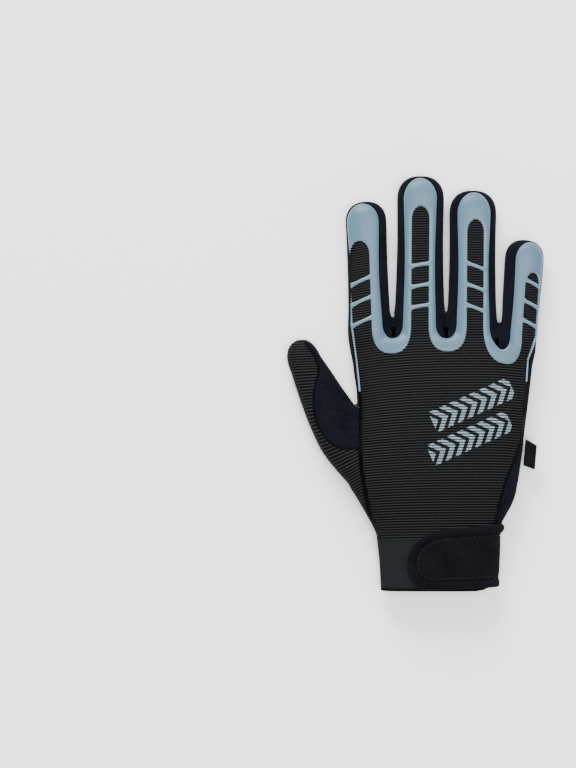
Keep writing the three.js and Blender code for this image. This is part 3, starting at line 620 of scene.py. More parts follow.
# %% Folds of this glove
SEAM_PULL, SEAM_REACH = 0.5, 1.1
SIDE_SEAM_PULL, SIDE_SEAM_REACH = 0.35, 0.9
UPPER_LEVEL, FACING, UPRIGHT = 6.5, 0.15, 0.93
WEB_TURNS, WEB_CREASE_LENGTH, WEB_CREASE_WIDTH, WEB_CREASE_DEPTH = (-0.2, 0.0, 0.2), 13, 1.3, 1.5
# Each fold has a start, an end, a width and a depth.
TOP_FOLDS = [
    (on_thumb(0.36, 0.5), on_thumb(0.52, 0.02), 1.3, 0.8),
    (on_thumb(0.32, 0.34), on_thumb(0.4, -0.12), 1.2, 0.7),
    (on_thumb(0.46, 0.5), on_thumb(0.64, 0.12), 1.4, 0.6),
    (on_thumb(0.28, 0.5), on_thumb(0.3, 0.05), 1.1, 0.6),
    (on_thumb(0.4, 0.3), on_thumb(0.42, 0.05), 1.0, 0.5),
]
UNDER_FOLDS = [
    (at_hand(-0.45, 0.62), at_hand(-0.28, 0.66), 2.6, 0.7),
    (at_hand(-0.44, 0.55), at_hand(-0.3, 0.47), 2.4, 0.6),
    (at_hand(-0.3, 0.3), at_hand(-0.2, 0.42), 2.2, 0.4),
    (at_hand(-0.35, 1.0), at_hand(0.45, 0.93), 2.6, 0.35),
]
print("folds:", len(TOP_FOLDS), "above,", len(UNDER_FOLDS), "below")

# %% Seam valleys and folds in the skin
skin, normals = points_of(outer), normals_of(outer)
low = np.zeros(len(skin))
upper = skin[:, 2] > UPPER_LEVEL
facing_up, facing_down = normals[:, 2] > FACING, normals[:, 2] < -FACING
back_seam = resampled(back_outline(0), 0.6, closed=True)
for seam in (back_seam, resampled(THUMB_SEAM, 0.6), resampled(CROTCH_SEAM, 0.6)):
    distance = distance_to(seam, skin)
    low = np.maximum(low, np.where(upper, SEAM_PULL * np.exp(-((distance / SEAM_REACH) ** 2)), 0))
side = (np.abs(normals[:, 2]) < UPRIGHT) & ~upper
from_seam = (skin[:, 2] - PALM_SEAM_HEIGHT) / SIDE_SEAM_REACH
low = np.maximum(low, np.where(side, SIDE_SEAM_PULL * np.exp(-(from_seam**2)), 0))
for start, end, width, depth in TOP_FOLDS:
    low += np.where(facing_up, fold(skin, start, end, width, depth), 0)
for start, end, width, depth in UNDER_FOLDS:
    low += np.where(facing_down, fold(skin, start, end, width, depth), 0)
in_web = ~inside(back_outline(0.3), skin[:, :2]) & (skin[:, 2] > PALM_SEAM_HEIGHT)
for i in range(3):
    left, right = FINGERS[i], FINGERS[i + 1]
    foot = (on_finger(left, 0, left["tip"]) + on_finger(right, 0, -right["tip"])) / 2
    foot = foot + (0, WEB_DEPTH * (1 - NOTCH[i]))
    for turn in WEB_TURNS:
        spoke = foot + WEB_CREASE_LENGTH * np.array([math.sin(turn), math.cos(turn)])
        low += np.where(in_web, fold(skin, foot, spoke, WEB_CREASE_WIDTH, WEB_CREASE_DEPTH), 0)
set_points(outer, skin - normals * low[:, None])
print("deepest valley, mm:", round(float(low.max()), 2))

# %% [markdown]
# ## Cutting the skin into panels
# The skin is the outer body less the inner one, opened at the wrist. It is cut straight down along
# the seam lines, as the pattern is, so that every panel ends exactly where its neighbour begins. The
# ribbed panels aren't cut here: their cloth needs a mesh that follows the ribs.

# %% Zones in plan
EDGE = 0.03
HOLE_RADIUS, HOLE_SIDES = 0.75, 12
PATCH_LENGTH, PATCH_TILT, PATCH_WIDE = 25.5, 1.6, 1.2
FINGER_SIDE_LEVEL = WIDEST_LEVEL * FINGER_THICKNESS
HAND_SIDE_LEVEL = PALM_LIFT + (HAND_THICKNESS - PALM_LIFT) * WIDEST_LEVEL


def web_zone(left, right, inset):
    low = -1.15 * WEB_DEPTH + inset
    return [on_finger(left, low / left["length"], inset), on_finger(left, 1.2, inset),
            on_finger(right, 1.2, -inset), on_finger(right, low / right["length"], -inset)]


def shifted(line, distance):
    """An open line moved sideways."""
    run = np.gradient(line, axis=0)
    run /= np.linalg.norm(run, axis=1)[:, None]
    return line + np.column_stack([-run[:, 1], run[:, 0]]) * distance


def ribbed_thumb_zone(inset):
    heel = side_seam(THUMB_SIDE, SEAM_FOOT, 0.437)[::-1] + (CLOTH * 2, 0)
    return np.concatenate([shifted(THUMB_SEAM, -inset), heel, [(-OUTSIDE, 0), (-OUTSIDE, OUTSIDE)]])


def under_thumb_zone(inset):
    return np.concatenate([UNDER_THUMB - (inset, 0), [(-OUTSIDE, 0), (-OUTSIDE, OUTSIDE)]])


def gusset_zone(inset):
    crotch = np.array([at_hand(-0.437, 0.462), at_hand(-0.437, 0.65), at_hand(-0.455, 0.656),
                       on_thumb(0.62, 0.62)]) - (inset, inset)
    seam = THUMB_SEAM[:-9]
    return np.concatenate([shifted(seam, inset), crotch, [on_thumb(1.15, 0.7)]])


def air_hole_pins():
    """One piece with a thin pin through each air hole in the fingers' fronts."""
    points, faces = [], []
    n, turns = HOLE_SIDES, np.linspace(0, 2 * np.pi, HOLE_SIDES + 1)[:-1]
    pin = [[i, (i + 1) % n, n + (i + 1) % n, n + i] for i in range(n)]
    pin += [list(reversed(range(n))), list(range(n, 2 * n))]
    for finger in FINGERS:
        for at in finger["holes"]:
            centre = on_finger(finger, at, finger["hole_shift"] * finger["tip"])
            rim = [centre + HOLE_RADIUS * np.array([math.cos(a), math.sin(a)]) for a in turns]
            faces += [[len(points) + i for i in face] for face in pin]
            points += [(x, y, BELOW) for x, y in rim] + [(x, y, FINGER_SIDE_LEVEL) for x, y in rim]
    return piece_from("pins", points, faces)


def patch_zone(inset):
    index = FINGERS[0]
    start, tilt = 1 - (PATCH_LENGTH - inset) / index["length"], PATCH_TILT / index["length"]
    wide = index["tip"] * PATCH_WIDE
    return [on_finger(index, start + tilt, -wide), on_finger(index, start - tilt, wide),
            on_finger(index, 1.2, wide), on_finger(index, 1.2, -wide)]


print("air holes:", sum(len(finger["holes"]) for finger in FINGERS))


# %% The skin and the cutters
def all_past(name, y):
    """A block that holds the whole glove past a line across it."""
    corners = [(-OUTSIDE, y), (OUTSIDE, y), (OUTSIDE, OUTSIDE * 2), (-OUTSIDE, OUTSIDE * 2)]
    return prism(name, corners, BELOW, ABOVE)


skin_shell = copy_of(outer, "skin_shell")
combine(skin_shell, [inner], "DIFFERENCE")
above_cuff = all_past("above_cuff", CUFF_HEIGHT + EDGE)
combine(skin_shell, [above_cuff], "INTERSECT")
print("skin:", len(skin_shell.data.polygons), "faces")

back_cutter = prism("back_cutter", back_outline(EDGE), HAND_SIDE_LEVEL - EDGE, ABOVE)
back_fingers = prism("back_fingers", back_outline(EDGE), FINGER_SIDE_LEVEL - EDGE, ABOVE)
knuckle_line = CUFF_HEIGHT + 0.88 * HAND_LENGTH
past_knuckles = all_past("past_knuckles", knuckle_line)
combine(back_fingers, [past_knuckles], "INTERSECT")
combine(back_cutter, [back_fingers], "UNION")


def thumb_cutter(inset):
    cutter = prism("thumb_cutter", ribbed_thumb_zone(inset), PALM_SEAM_HEIGHT + inset, ABOVE)
    under = prism("under_cutter", under_thumb_zone(inset), BELOW, PALM_SEAM_HEIGHT + 2 * (EDGE - inset))
    combine(cutter, [under], "UNION")
    discard(under)
    return cutter


def panel(name, keep, remove):
    """A panel of the skin: what lies in every one of keep and in none of remove."""
    piece = copy_of(skin_shell, name)
    for other in keep:
        combine(piece, [other], "INTERSECT")
    if remove:
        combine(piece, remove, "DIFFERENCE")
    return keep_largest(piece)


print("cutters for the back and the fingers:", len(back_cutter.data.polygons), "faces")

# %% Suede panels
patch_room = prism("patch_room", patch_zone(-EDGE), BELOW, PALM_SEAM_HEIGHT + EDGE)
web_rooms = []
for left, right in zip(FINGERS[:-1], FINGERS[1:]):
    room = web_zone(left, right, -EDGE)
    web_rooms.append(prism("web_room", room, PALM_SEAM_HEIGHT - EDGE, ABOVE))
gusset_room = prism("gusset_room", gusset_zone(-EDGE), PALM_SEAM_HEIGHT - EDGE, ABOVE)
thumb_room = thumb_cutter(-EDGE)
pins = air_hole_pins()
palm = panel("palm_suede", [], [back_cutter, *web_rooms, gusset_room, thumb_room, patch_room, pins])
side_walls = []
for left, right in zip(FINGERS[:-1], FINGERS[1:]):
    web = prism("web", web_zone(left, right, EDGE), PALM_SEAM_HEIGHT + EDGE, ABOVE)
    side_walls.append(panel(f"side_wall_{left['name']}_{right['name']}", [web], [back_cutter]))
    discard(web)
patch_cutter = prism("patch_cutter", patch_zone(EDGE), BELOW, PALM_SEAM_HEIGHT - EDGE)
touch_panel = panel("touch_panel", [patch_cutter], [])
gusset_cutter = prism("gusset_cutter", gusset_zone(EDGE), PALM_SEAM_HEIGHT + EDGE, ABOVE)
under_room = prism("under_room", under_thumb_zone(-EDGE), BELOW, PALM_SEAM_HEIGHT + 3 * EDGE)
gusset = panel("thumb_gusset_suede", [gusset_cutter], [back_cutter, under_room])
for piece in [palm, *side_walls, touch_panel, gusset]:
    print(piece.name, len(piece.data.polygons), "faces")

# %% [markdown]
# ## Laying a pattern piece on the skin
# A pattern piece is flat, so it is meshed flat and then laid on the skin: every point drops straight
# down onto the outer body and takes the surface's normal there. The point is then lifted a little to
# round the skin's small facets. The same triangles turned over, one cloth lower, close the piece.

# %% The skin as a surface to drop points on
ROUNDING = 0.6
outer.data.calc_loop_triangles()
corners = np.empty(len(outer.data.loop_triangles) * 3, dtype=np.int32)
outer.data.loop_triangles.foreach_get("vertices", corners)
corners = corners.reshape(-1, 3)
skin, skin_normals = points_of(outer), normals_of(outer)
SKIN = BVHTree.FromPolygons(skin.tolist(), corners.tolist(), all_triangles=True)


def on_skin(plan):
    """Points and smooth normals of the skin under points in plan."""
    hits = []
    for x, y in plan:
        hit = SKIN.ray_cast((x, y, ABOVE), (0, 0, -1))
        hits.append(hit if hit[0] is not None else SKIN.find_nearest((x, y, 9)))
    point = np.array([hit[0] for hit in hits])
    triangle = corners[[hit[2] for hit in hits]]
    a, b, c = (skin[triangle[:, k]] for k in range(3))
    u, v, w = b - a, c - a, point - a
    uu, uv, vv = (u * u).sum(1), (u * v).sum(1), (v * v).sum(1)
    wu, wv = (w * u).sum(1), (w * v).sum(1)
    scale = uu * vv - uv * uv
    beta, gamma = (vv * wu - uv * wv) / scale, (uu * wv - uv * wu) / scale
    weights = np.clip(np.stack([1 - beta - gamma, beta, gamma]), 0, 1)
    normal, lifted = np.zeros_like(point), np.zeros_like(point)
    for k in range(3):
        vertex, direction = skin[triangle[:, k]], skin_normals[triangle[:, k]]
        normal += weights[k][:, None] * direction
        above = ((point - vertex) * direction).sum(1)[:, None]
        lifted += weights[k][:, None] * (point - above * direction)
    normal /= np.linalg.norm(normal, axis=1)[:, None]
    return point * (1 - ROUNDING) + lifted * ROUNDING, normal


print("skin:", len(corners), "triangles")


# %% Flat meshes and closed sheets
def triangulated(points, edges, stretch=1.0):
    """All triangles between points in plan that keep the given edges."""
    flat = [Vector(p) for p in (points * (1, stretch)).tolist()]
    verts, _, faces, *_ = delaunay_2d_cdt(flat, edges, [], 0, 1e-5)
    return np.array([v[:] for v in verts]) / (1, stretch), np.array(faces)


def loop_edges(lines):
    """The edges of closed lines whose points follow each other in one list."""
    edges, first = [], 0
    for line in lines:
        n = len(line)
        edges += [(first + i, first + (i + 1) % n) for i in range(n)]
        first += n
    return edges


def rim_edges(triangles):
    """The edges that only one triangle uses, in that triangle's direction."""
    size = int(triangles.max()) + 1
    start, end = triangles.ravel(), np.roll(triangles, -1, axis=1).ravel()
    lonely = ~np.isin(start * size + end, end * size + start)
    return np.column_stack([start[lonely], end[lonely]])


def only_used(points, triangles):
    """Drops the points that no triangle uses."""
    used, triangles = np.unique(triangles, return_inverse=True)
    return points[used], triangles.reshape(-1, 3)


def closed_sheet(name, top, bottom, triangles):
    """A closed piece from an upper and a lower copy of the same triangles."""
    n = len(top)
    rim = rim_edges(triangles)
    walls = np.column_stack([rim[:, 1], rim[:, 0], rim[:, 0] + n, rim[:, 1] + n])
    faces = triangles.tolist() + (triangles[:, ::-1] + n).tolist() + walls.tolist()
    return piece_from(name, np.concatenate([top, bottom]), faces)


def grid_over(low, high, across, along):
    """A grid of points in plan between two corners."""
    columns, rows = np.arange(low[0], high[0], across), np.arange(low[1], high[1], along)
    return np.stack(np.meshgrid(columns, rows), axis=-1).reshape(-1, 2)


print("a 2 mm square at 1 mm has", len(grid_over((0, 0), (2, 2), 1, 1)), "points")

# %% [markdown]
# ## The ribbed back
# The back is a stretch cloth knitted in fine cross ribs, about 1.5 mm apart. Its mesh has four rows of
# points to a rib, so each rib is a real ridge, and the rows lean with the index and the little finger.
# Near a seam the ribs flatten, because the seam's thread squeezes the cloth. A number called `crest`
# is stored at every point, and the material reads it to paint a highlight on the ridges and shade in the
# grooves.

# %% Where the ribs run
RIB_HEIGHT, RIB_GROOVE = 0.26, 0.6
RIB_LEAN = {"x": [-0.5, -0.3, -0.1, 0.2, 0.3, 0.36], "slope": [0.2, 0.11, 0.04, 0, -0.03, -0.089]}
LEAN_BY_ROW = {"y": [20, 60, 110], "share": [0.3, 0.55, 1]}
PITCH_BY_ROW = {"y": [0, 110, 150, 175], "pitch": [1.56, 1.56, 1.5, 1.42]}
lean_x = np.linspace(-0.6, 0.6, 1201) * HAND_WIDTH
lean_slope = np.interp(lean_x / HAND_WIDTH, RIB_LEAN["x"], RIB_LEAN["slope"])
lean_y = np.cumsum(lean_slope) * (lean_x[1] - lean_x[0])
lean_y -= np.interp(0, lean_x, lean_y)
ROW_STEP, FIRST_RIB_ROW = 0.05, 600
row_y = np.arange(-20, 270, ROW_STEP)
row_phase = np.cumsum(ROW_STEP / np.interp(row_y, PITCH_BY_ROW["y"], PITCH_BY_ROW["pitch"]))


def rib_drift(x, row):
    """How far the rib that crosses X = 0 at a row has risen by the time it reaches x."""
    return np.interp(x, lean_x, lean_y) * np.interp(row, LEAN_BY_ROW["y"], LEAN_BY_ROW["share"])


def rib_phase(plan):
    """How many ribs lie below a point of the back."""
    row = plan[:, 1]
    for _ in range(8):
        row = plan[:, 1] - rib_drift(plan[:, 0], row)
    return np.interp(row, row_y, row_phase)


def rib_profile(phase):
    """A rib's height: round on its ridge and sharp in the groove, as a share of RIB_HEIGHT."""
    return np.abs(np.sin(np.pi * phase)) - RIB_GROOVE


up_the_back = np.array([(0, CUFF_HEIGHT), on_finger(FINGERS[1], 1, 0)])
print("ribs from the cuff to the middle fingertip:", int(np.diff(rib_phase(up_the_back))[0]))

# %% Back panel
BACK_COLUMN = 1.5
# Painted shade: the knit is tinted darker from the upper of these levels down to the lower one.
HEEL_SHADE, HEEL_SHADE_FACTOR = (-84, -56), 0.55


def edge_fade(distance, reach):
    """Rises from nothing at an edge to 1 at its reach."""
    return np.clip(distance / reach, 0, 1)


def mark(piece, name, values):
    """Stores a number at every point, for the material to read."""
    layer = piece.data.attributes.new(name, "FLOAT", "POINT")
    layer.data.foreach_set("value", np.asarray(values, dtype=np.float32))


def back_panel():
    edge = resampled(back_outline(-EDGE), 0.4, closed=True)
    columns = np.arange(-0.56, 0.56, BACK_COLUMN / HAND_WIDTH) * HAND_WIDTH
    rows = np.interp(np.arange(row_phase[FIRST_RIB_ROW], row_phase[-1], 0.25), row_phase, row_y)
    grid = np.array([(x, y) for x in columns for y in rows])
    grid[:, 1] += rib_drift(grid[:, 0], grid[:, 1])
    grid = grid[inside(edge, grid)]
    grid = grid[distance_to(edge, grid) > 0.45]
    plan, triangles = triangulated(np.concatenate([edge, grid]), loop_edges([edge]), stretch=3)
    triangles = triangles[inside(edge, plan[triangles].mean(axis=1))]
    plan, triangles = only_used(plan, triangles)
    point, normal = on_skin(plan)
    fade = edge_fade(distance_to(edge, plan), 1.2)
    height = RIB_HEIGHT * rib_profile(rib_phase(plan)) * fade
    top, bottom = point + normal * height[:, None], point - normal * CLOTH * 0.8
    sheet = closed_sheet("ribbed_back", top, bottom, triangles)
    # The crest number drives a painted highlight on each ridge and painted shade in each groove.
    crest = (rib_profile(rib_phase(plan)) + RIB_GROOVE) * fade
    # Painted shade towards the heel: the ridges' tint is dimmed there.
    crest = crest * np.interp(plan[:, 1], HEEL_SHADE, (HEEL_SHADE_FACTOR, 1))
    mark(sheet, "crest", np.concatenate([crest, crest * 0]))
    return sheet


back = back_panel()
print("ribbed back:", len(back.data.polygons), "faces")

# %% [markdown]
# ## The rubber finger guard
# The guard is moulded onto the back in one piece: a cap on each fingertip, legs that run down beside
# every finger and join round the webs, slanting bars, and a thin line down each side of the hand. It
# is meshed flat between its own edges. Its height rises from nothing at an edge to a soft dome, and
# the ribs below show faintly through it. Rubber crept into the ribs, so its inner edges are ragged.

# %% Bars and edges of the guard
BAR_ARCH, BAR_MIDDLE, BAR_FLARE, RAGGEDNESS = 0.28, 0.92, 0.8, 0.2


def guard_bar(finger, at):
    """A bar across a finger's window: it arches a little and widens into the legs at both ends."""
    left = finger["window"][0] * finger["tip"] - SIDE_LINE_WIDTH / 2
    right = finger["window"][1] * finger["tip"] + SIDE_LINE_WIDTH
    share = np.linspace(0, 1, 9)
    rise = finger["slope"] * (right - left) * (share - 0.5) + BAR_ARCH * np.sin(np.pi * share)
    thick = BAR_WIDTH / 2 * (BAR_MIDDLE + BAR_FLARE * np.abs(2 * share - 1) ** 4)
    offset = left + (right - left) * share
    upper = [on_finger(finger, at + level / finger["length"], off)
             for level, off in zip(rise + thick, offset)]
    lower = [on_finger(finger, at + level / finger["length"], off)
             for level, off in zip(rise - thick, offset)]
    return np.array(lower + upper[::-1])


def ragged(line):
    """Moves a closed line in and out with the ribs that it crosses."""
    run = np.roll(line, -1, axis=0) - np.roll(line, 1, axis=0)
    run /= np.linalg.norm(run, axis=1)[:, None]
    wave = RAGGEDNESS * np.sin(2 * np.pi * rib_phase(line)) * np.abs(run[:, 1])
    from_middle = np.abs(line[:, 0] - 0.01 * HAND_WIDTH)
    on_side_line = (from_middle > 0.42 * HAND_WIDTH) & (line[:, 1] < knuckle_line)
    wave[on_side_line] = 0
    return line + np.column_stack([-run[:, 1], run[:, 0]]) * wave[:, None]


legs_edge = resampled(back_outline(-SEAM_GAP), 0.4, closed=True)
window_edge = ragged(resampled(window_outline(), 0.25, closed=True))
bars = [resampled(guard_bar(finger, at), 0.3, closed=True)
        for finger in FINGERS for at in finger["bars"]]
thumb_foot, little_foot = (CUFF_HEIGHT + share * HAND_LENGTH for share in SIDE_LINE_FOOT.values())
foot_lines = [np.array([(-OUTSIDE, thumb_foot), (0, thumb_foot), (0, thumb_foot + 1)]),
              np.array([(0, little_foot), (OUTSIDE, little_foot), (OUTSIDE, little_foot + 1)])]


def in_guard(plan):
    """Which points in plan the rubber covers."""
    open_window = inside(window_edge, plan)
    for bar in bars:
        open_window &= ~inside(bar, plan)
    foot = np.where(plan[:, 0] < 0, thumb_foot, little_foot)
    return inside(legs_edge, plan) & ~open_window & (plan[:, 1] > foot)


print("guard:", len(bars), "bars, window edge of", len(window_edge), "points")

# %% The guard's flat mesh
# Two rows of points run just inside every edge, and a grid fills the rest.
ROW_PLACES, ROW_CLEARANCES = (0.14, 0.38), (0.1, 0.3, 0.55)
GUARD_GRID = (0.62, 0.5)


def guard_sheet():
    """The guard's points in plan, its triangles and samples of its edges."""
    lines = [legs_edge, window_edge, *bars, *foot_lines]
    plan, triangles = triangulated(np.concatenate(lines), loop_edges(lines))
    triangles = triangles[in_guard(plan[triangles].mean(axis=1))]
    plan, triangles = only_used(plan, triangles)
    rim = rim_edges(triangles)
    ends = plan[rim]
    samples = np.concatenate([ends[:, 0], ends.mean(axis=1)])
    run = ends[:, 1] - ends[:, 0]
    inward = np.column_stack([-run[:, 1], run[:, 0]]) / np.linalg.norm(run, axis=1)[:, None]
    free = [ends.mean(axis=1) + inward * place for place in ROW_PLACES]
    grid = grid_over(plan.min(axis=0), plan.max(axis=0), *GUARD_GRID)
    free.append(grid[in_guard(grid)])
    free = [group[distance_to(samples, group) > least] for group, least in zip(free, ROW_CLEARANCES)]
    plan, triangles = triangulated(np.concatenate([plan, *free]), rim.tolist())
    triangles = triangles[in_guard(plan[triangles].mean(axis=1))]
    return *only_used(plan, triangles), samples


guard_plan, guard_triangles, guard_edge = guard_sheet()
print("guard in plan:", len(guard_plan), "points")

# %% Finger guard
GUARD_ROUND, GUARD_DOME, GUARD_RIBS = 1.7, 2.2, 0.05


def finger_guard(plan, triangles, edge):
    """Raises the flat mesh into a dome over the skin."""
    point, normal = on_skin(plan)
    away = distance_to(edge, plan)
    share = np.clip(away / GUARD_ROUND, 0, 1)
    height = GUARD_THICKNESS * np.sqrt(np.clip(1 - (1 - share) ** GUARD_DOME, 0, 1))
    profile = rib_profile(rib_phase(plan))
    top = point + normal * (height + GUARD_RIBS * profile * share)[:, None]
    overlay = closed_sheet("rubber_guard", top, point - normal * 0.2, triangles)
    mark(overlay, "from_edge", np.tile(away, 2))
    mark(overlay, "crest", np.tile(profile + RIB_GROOVE, 2))
    return overlay


guard = finger_guard(guard_plan, guard_triangles, guard_edge)
print("guard:", len(guard.data.polygons), "faces")

# %% [markdown]
# ## The ribbed thumb panel
# One piece of the same cloth wraps the thumb's back and the heel's edge and turns under. It is cut
# from the skin like the suede. Its faces are then sliced along the ribs, four cuts to each, so that the
# ribs can rise. They run across the thumb at its tip and slant up to the right near the heel.

# %% Where the thumb's ribs run
RIB_TURN = {"y": [60, 80, 95, 112, 130], "slope": [0.62, 0.55, 0.35, 0.14, 0.05]}
THUMB_PITCH = {"y": [60, 80, 112], "pitch": [1.85, 1.75, 1.45]}
RIB_PIVOT = -0.36 * HAND_WIDTH
turn_phase = np.cumsum(ROW_STEP / np.interp(row_y, THUMB_PITCH["y"], THUMB_PITCH["pitch"]))


def thumb_phase(points):
    """How many ribs of the thumb panel lie below a point: each rib is a slanting line in plan."""
    base = points[:, 1]
    for _ in range(30):
        slope = np.interp(base, RIB_TURN["y"], RIB_TURN["slope"])
        base = base * 0.5 + 0.5 * (points[:, 1] - slope * (points[:, 0] - RIB_PIVOT))
    return np.interp(base, row_y, turn_phase)


print("ribs of the thumb:", int(np.ptp(thumb_phase(np.array([on_thumb(1, 0), on_thumb(0, 0)])))))


# %% Slicing a piece along a field
def sliced(piece, name, level_of, is_cut):
    """Cuts a piece's faces along the whole levels of a field."""
    piece.data.calc_loop_triangles()
    flat = np.empty(len(piece.data.loop_triangles) * 3, dtype=np.int32)
    piece.data.loop_triangles.foreach_get("vertices", flat)
    points = points_of(piece)
    level = level_of(points) + 1e-5
    cut = is_cut(points)
    grown, levels, cuts, faces = points.tolist(), level.tolist(), {}, []

    def between(a, b):
        low, high = min(a, b), max(a, b)
        if (low, high) not in cuts:
            start, end = level[low], level[high]
            steps = range(math.ceil(min(start, end)), math.floor(max(start, end)) + 1)
            ids = []
            for step in (steps if start < end else reversed(steps)):
                share = (step - start) / (end - start)
                ids.append(len(grown))
                grown.append((points[low] + share * (points[high] - points[low])).tolist())
                levels.append(float(step))
            cuts[(low, high)] = ids
        return cuts[(low, high)] if a < b else cuts[(low, high)][::-1]

    for a, b, c in flat.reshape(-1, 3).tolist():
        around = [a, *between(a, b), b, *between(b, c), c, *between(c, a)]
        if not (cut[a] and cut[b] and cut[c]):
            faces.append(around)
            continue
        heights = [levels[i] for i in around]
        for step in range(math.floor(min(heights)), math.ceil(max(heights))):
            strip = [i for i, height in zip(around, heights) if step <= height <= step + 1]
            if len(strip) > 2:
                faces.append(strip)
    return piece_from(name, np.array(grown), faces)


# %% Thumb panel
ON_SURFACE, CUTS_A_RIB, THUMB_RIB_HEIGHT, THUMB_SEAM_LEVEL = 0.02, 4, RIB_HEIGHT * 1.1, 9


def near_skin(points):
    """Which points lie on the skin's outside."""
    return np.array([SKIN.find_nearest(p)[3] < ON_SURFACE for p in points])


def ribbed_thumb():
    cutter = thumb_cutter(EDGE)
    plain = panel("plain_thumb", [cutter], [back_cutter])
    ribbed = sliced(plain, "ribbed_thumb", lambda points: thumb_phase(points) * CUTS_A_RIB, near_skin)
    discard(cutter, plain)
    points, normals = points_of(ribbed), normals_of(ribbed)
    outside = near_skin(points)
    seam = resampled(THUMB_SEAM, 0.5)
    side = resampled(side_seam(THUMB_SIDE, SEAM_FOOT, 0.45), 0.5)
    distance = np.minimum(distance_to(seam, points), distance_to(side, points))
    fade = np.where(points[:, 2] > THUMB_SEAM_LEVEL, edge_fade(distance, 1.3), 1)
    fade *= edge_fade(np.abs(points[:, 2] - PALM_SEAM_HEIGHT), 0.9)
    height = THUMB_RIB_HEIGHT * rib_profile(thumb_phase(points)) * fade * outside
    set_points(ribbed, points + normals * height[:, None])
    # The crest number drives a painted highlight on each rib's ridge and painted shade in its groove.
    mark(ribbed, "crest", (rib_profile(thumb_phase(points)) + RIB_GROOVE) * fade * outside)
    return ribbed


thumb_panel = ribbed_thumb()
print("thumb panel:", len(thumb_panel.data.polygons), "faces")

# %% [markdown]
# ## The elastic cuff
# The cuff is a woven elastic band, sewn into a tube. Its twill runs diagonally round the wrist. Each
# column of the mesh is one closed loop: up the outside, over the seam's edge, down the inside and round
# the open edge, so the band has a real wall and soft rims.

# %% Cuff measurements
TWILL_PITCH, TWILL_SLOPE, TWILL_HEIGHT = 1.6, 0.85, 0.16
CUFF_COLUMNS, CUFF_ROWS, INNER_ROWS, RIM_ROUND = 432, 84, 12, 0.7
CORNER_CUT, CORNER_REACH = 3.6, CUFF_CORNER * 1.3
PLAIN_RIM, TWILL_FADE = 1.2, 0.8


def around(section, count):
    """The same ring with evenly spaced points."""
    closed = np.concatenate([section, section[:1]])
    run = np.concatenate([[0], np.cumsum(np.linalg.norm(np.diff(closed, axis=0), axis=1))])
    at = run[-1] * np.arange(count) / count
    return np.column_stack([np.interp(at, run, closed[:, k]) for k in range(3)]), run[-1]


def cuff_start(x):
    """Where the open edge is: its corner on the little-finger side is rounded off."""
    corner = CUFF["right"][0] * CUFF_WIDTH
    return CORNER_CUT * np.clip((x - corner + CORNER_REACH) / CORNER_REACH, 0, 1.1) ** 2


print("open edge at the corner, mm:", round(float(cuff_start(CUFF["right"][0] * CUFF_WIDTH)), 2))


# %% Cuff band
def cuff_band():
    end = CUFF_HEIGHT - SEAM_GAP / 2
    levels = np.linspace(0, end, CUFF_ROWS)
    rings, length = zip(*(around(cuff_section(y, 0, 720), CUFF_COLUMNS) for y in levels))
    grid = np.array(rings)
    low = cuff_start(grid[0, :, 0]) * (grid[0, :, 2] > 2)
    share = levels / end
    heights = low[None, :] + (end - low)[None, :] * share[:, None]
    grid[:, :, 1] = heights
    run = np.roll(grid, -1, axis=1) - np.roll(grid, 1, axis=1)
    normal = np.dstack([run[:, :, 2], np.zeros(run.shape[:2]), -run[:, :, 0]])
    normal /= np.linalg.norm(normal, axis=2)[:, :, None]
    if (normal[0, 0] * (1, 0, 0)).sum() < 0:
        normal = -normal
    turns = round(length[0] * TWILL_SLOPE / TWILL_PITCH)
    phase = heights / TWILL_PITCH + turns * np.arange(CUFF_COLUMNS)[None, :] / CUFF_COLUMNS
    from_edge = np.minimum(heights - low, end - heights)
    fade = edge_fade(from_edge - PLAIN_RIM, TWILL_FADE)
    wave = TWILL_HEIGHT * (rib_profile(phase) - 0.2) * fade
    near_rim = np.clip(RIM_ROUND - from_edge, 0, RIM_ROUND)
    inward = RIM_ROUND - np.sqrt(np.clip(RIM_ROUND**2 - near_rim**2, 0, None))
    outside = grid + normal * (wave - inward - 0.03)[:, :, None]
    inner_rows = np.linspace(CUFF_ROWS - 1, 0, INNER_ROWS).round().astype(int)
    inside_wall = grid[inner_rows] - normal[inner_rows] * CUFF_WALL
    profile = np.concatenate([outside, inside_wall])
    rows, columns = profile.shape[:2]
    i = np.arange(columns)
    j = (i + 1) % columns
    faces = []
    for r in range(rows):
        a, b = r * columns, ((r + 1) % rows) * columns
        faces += np.column_stack([a + i, a + j, b + j, b + i]).tolist()
    band = piece_from("elastic_cuff", profile.reshape(-1, 3), faces)
    # Painted highlight on the twill's ridges and painted shade in its grooves, weaker near the rims and
    # none on the inside wall.
    thread = (rib_profile(phase) + RIB_GROOVE) * (0.35 + 0.65 * fade)
    mark(band, "crest", np.concatenate([thread, thread[:len(inner_rows)] * 0]).ravel())
    return band


cuff = cuff_band()
print("cuff:", len(cuff.data.polygons), "faces")

# %% [markdown]
# ## The wrist strap
# The strap is a padded tab with a thick bound edge. Its outline is drawn in plan and then carried round
# the wrist: a distance along the outline becomes a distance along the wrist's own curve. The binding
# and the core are domed layers on that curve.

# %% The wrist as a surface
STRAP_HEIGHT, STRAP_LENGTH, STRAP_THICKNESS = 38.4, 54.8, 2.6
BINDING_WIDTH, STRAP_RISE, STRAP_CORNER, STRAP_SHOULDER = 5, 0.8, 1.6, 2.5
STRAP_END = {"centre": 0.375, "lower": 0.375, "upper": 0.85, "roundness": 0.8}
WRIST_STEP, WRIST_ROW, WRIST_START, STRAP_TUCK = 0.25, 0.5, -3, -1.6
RING_POINTS, POINTS_BELOW = 800, 60


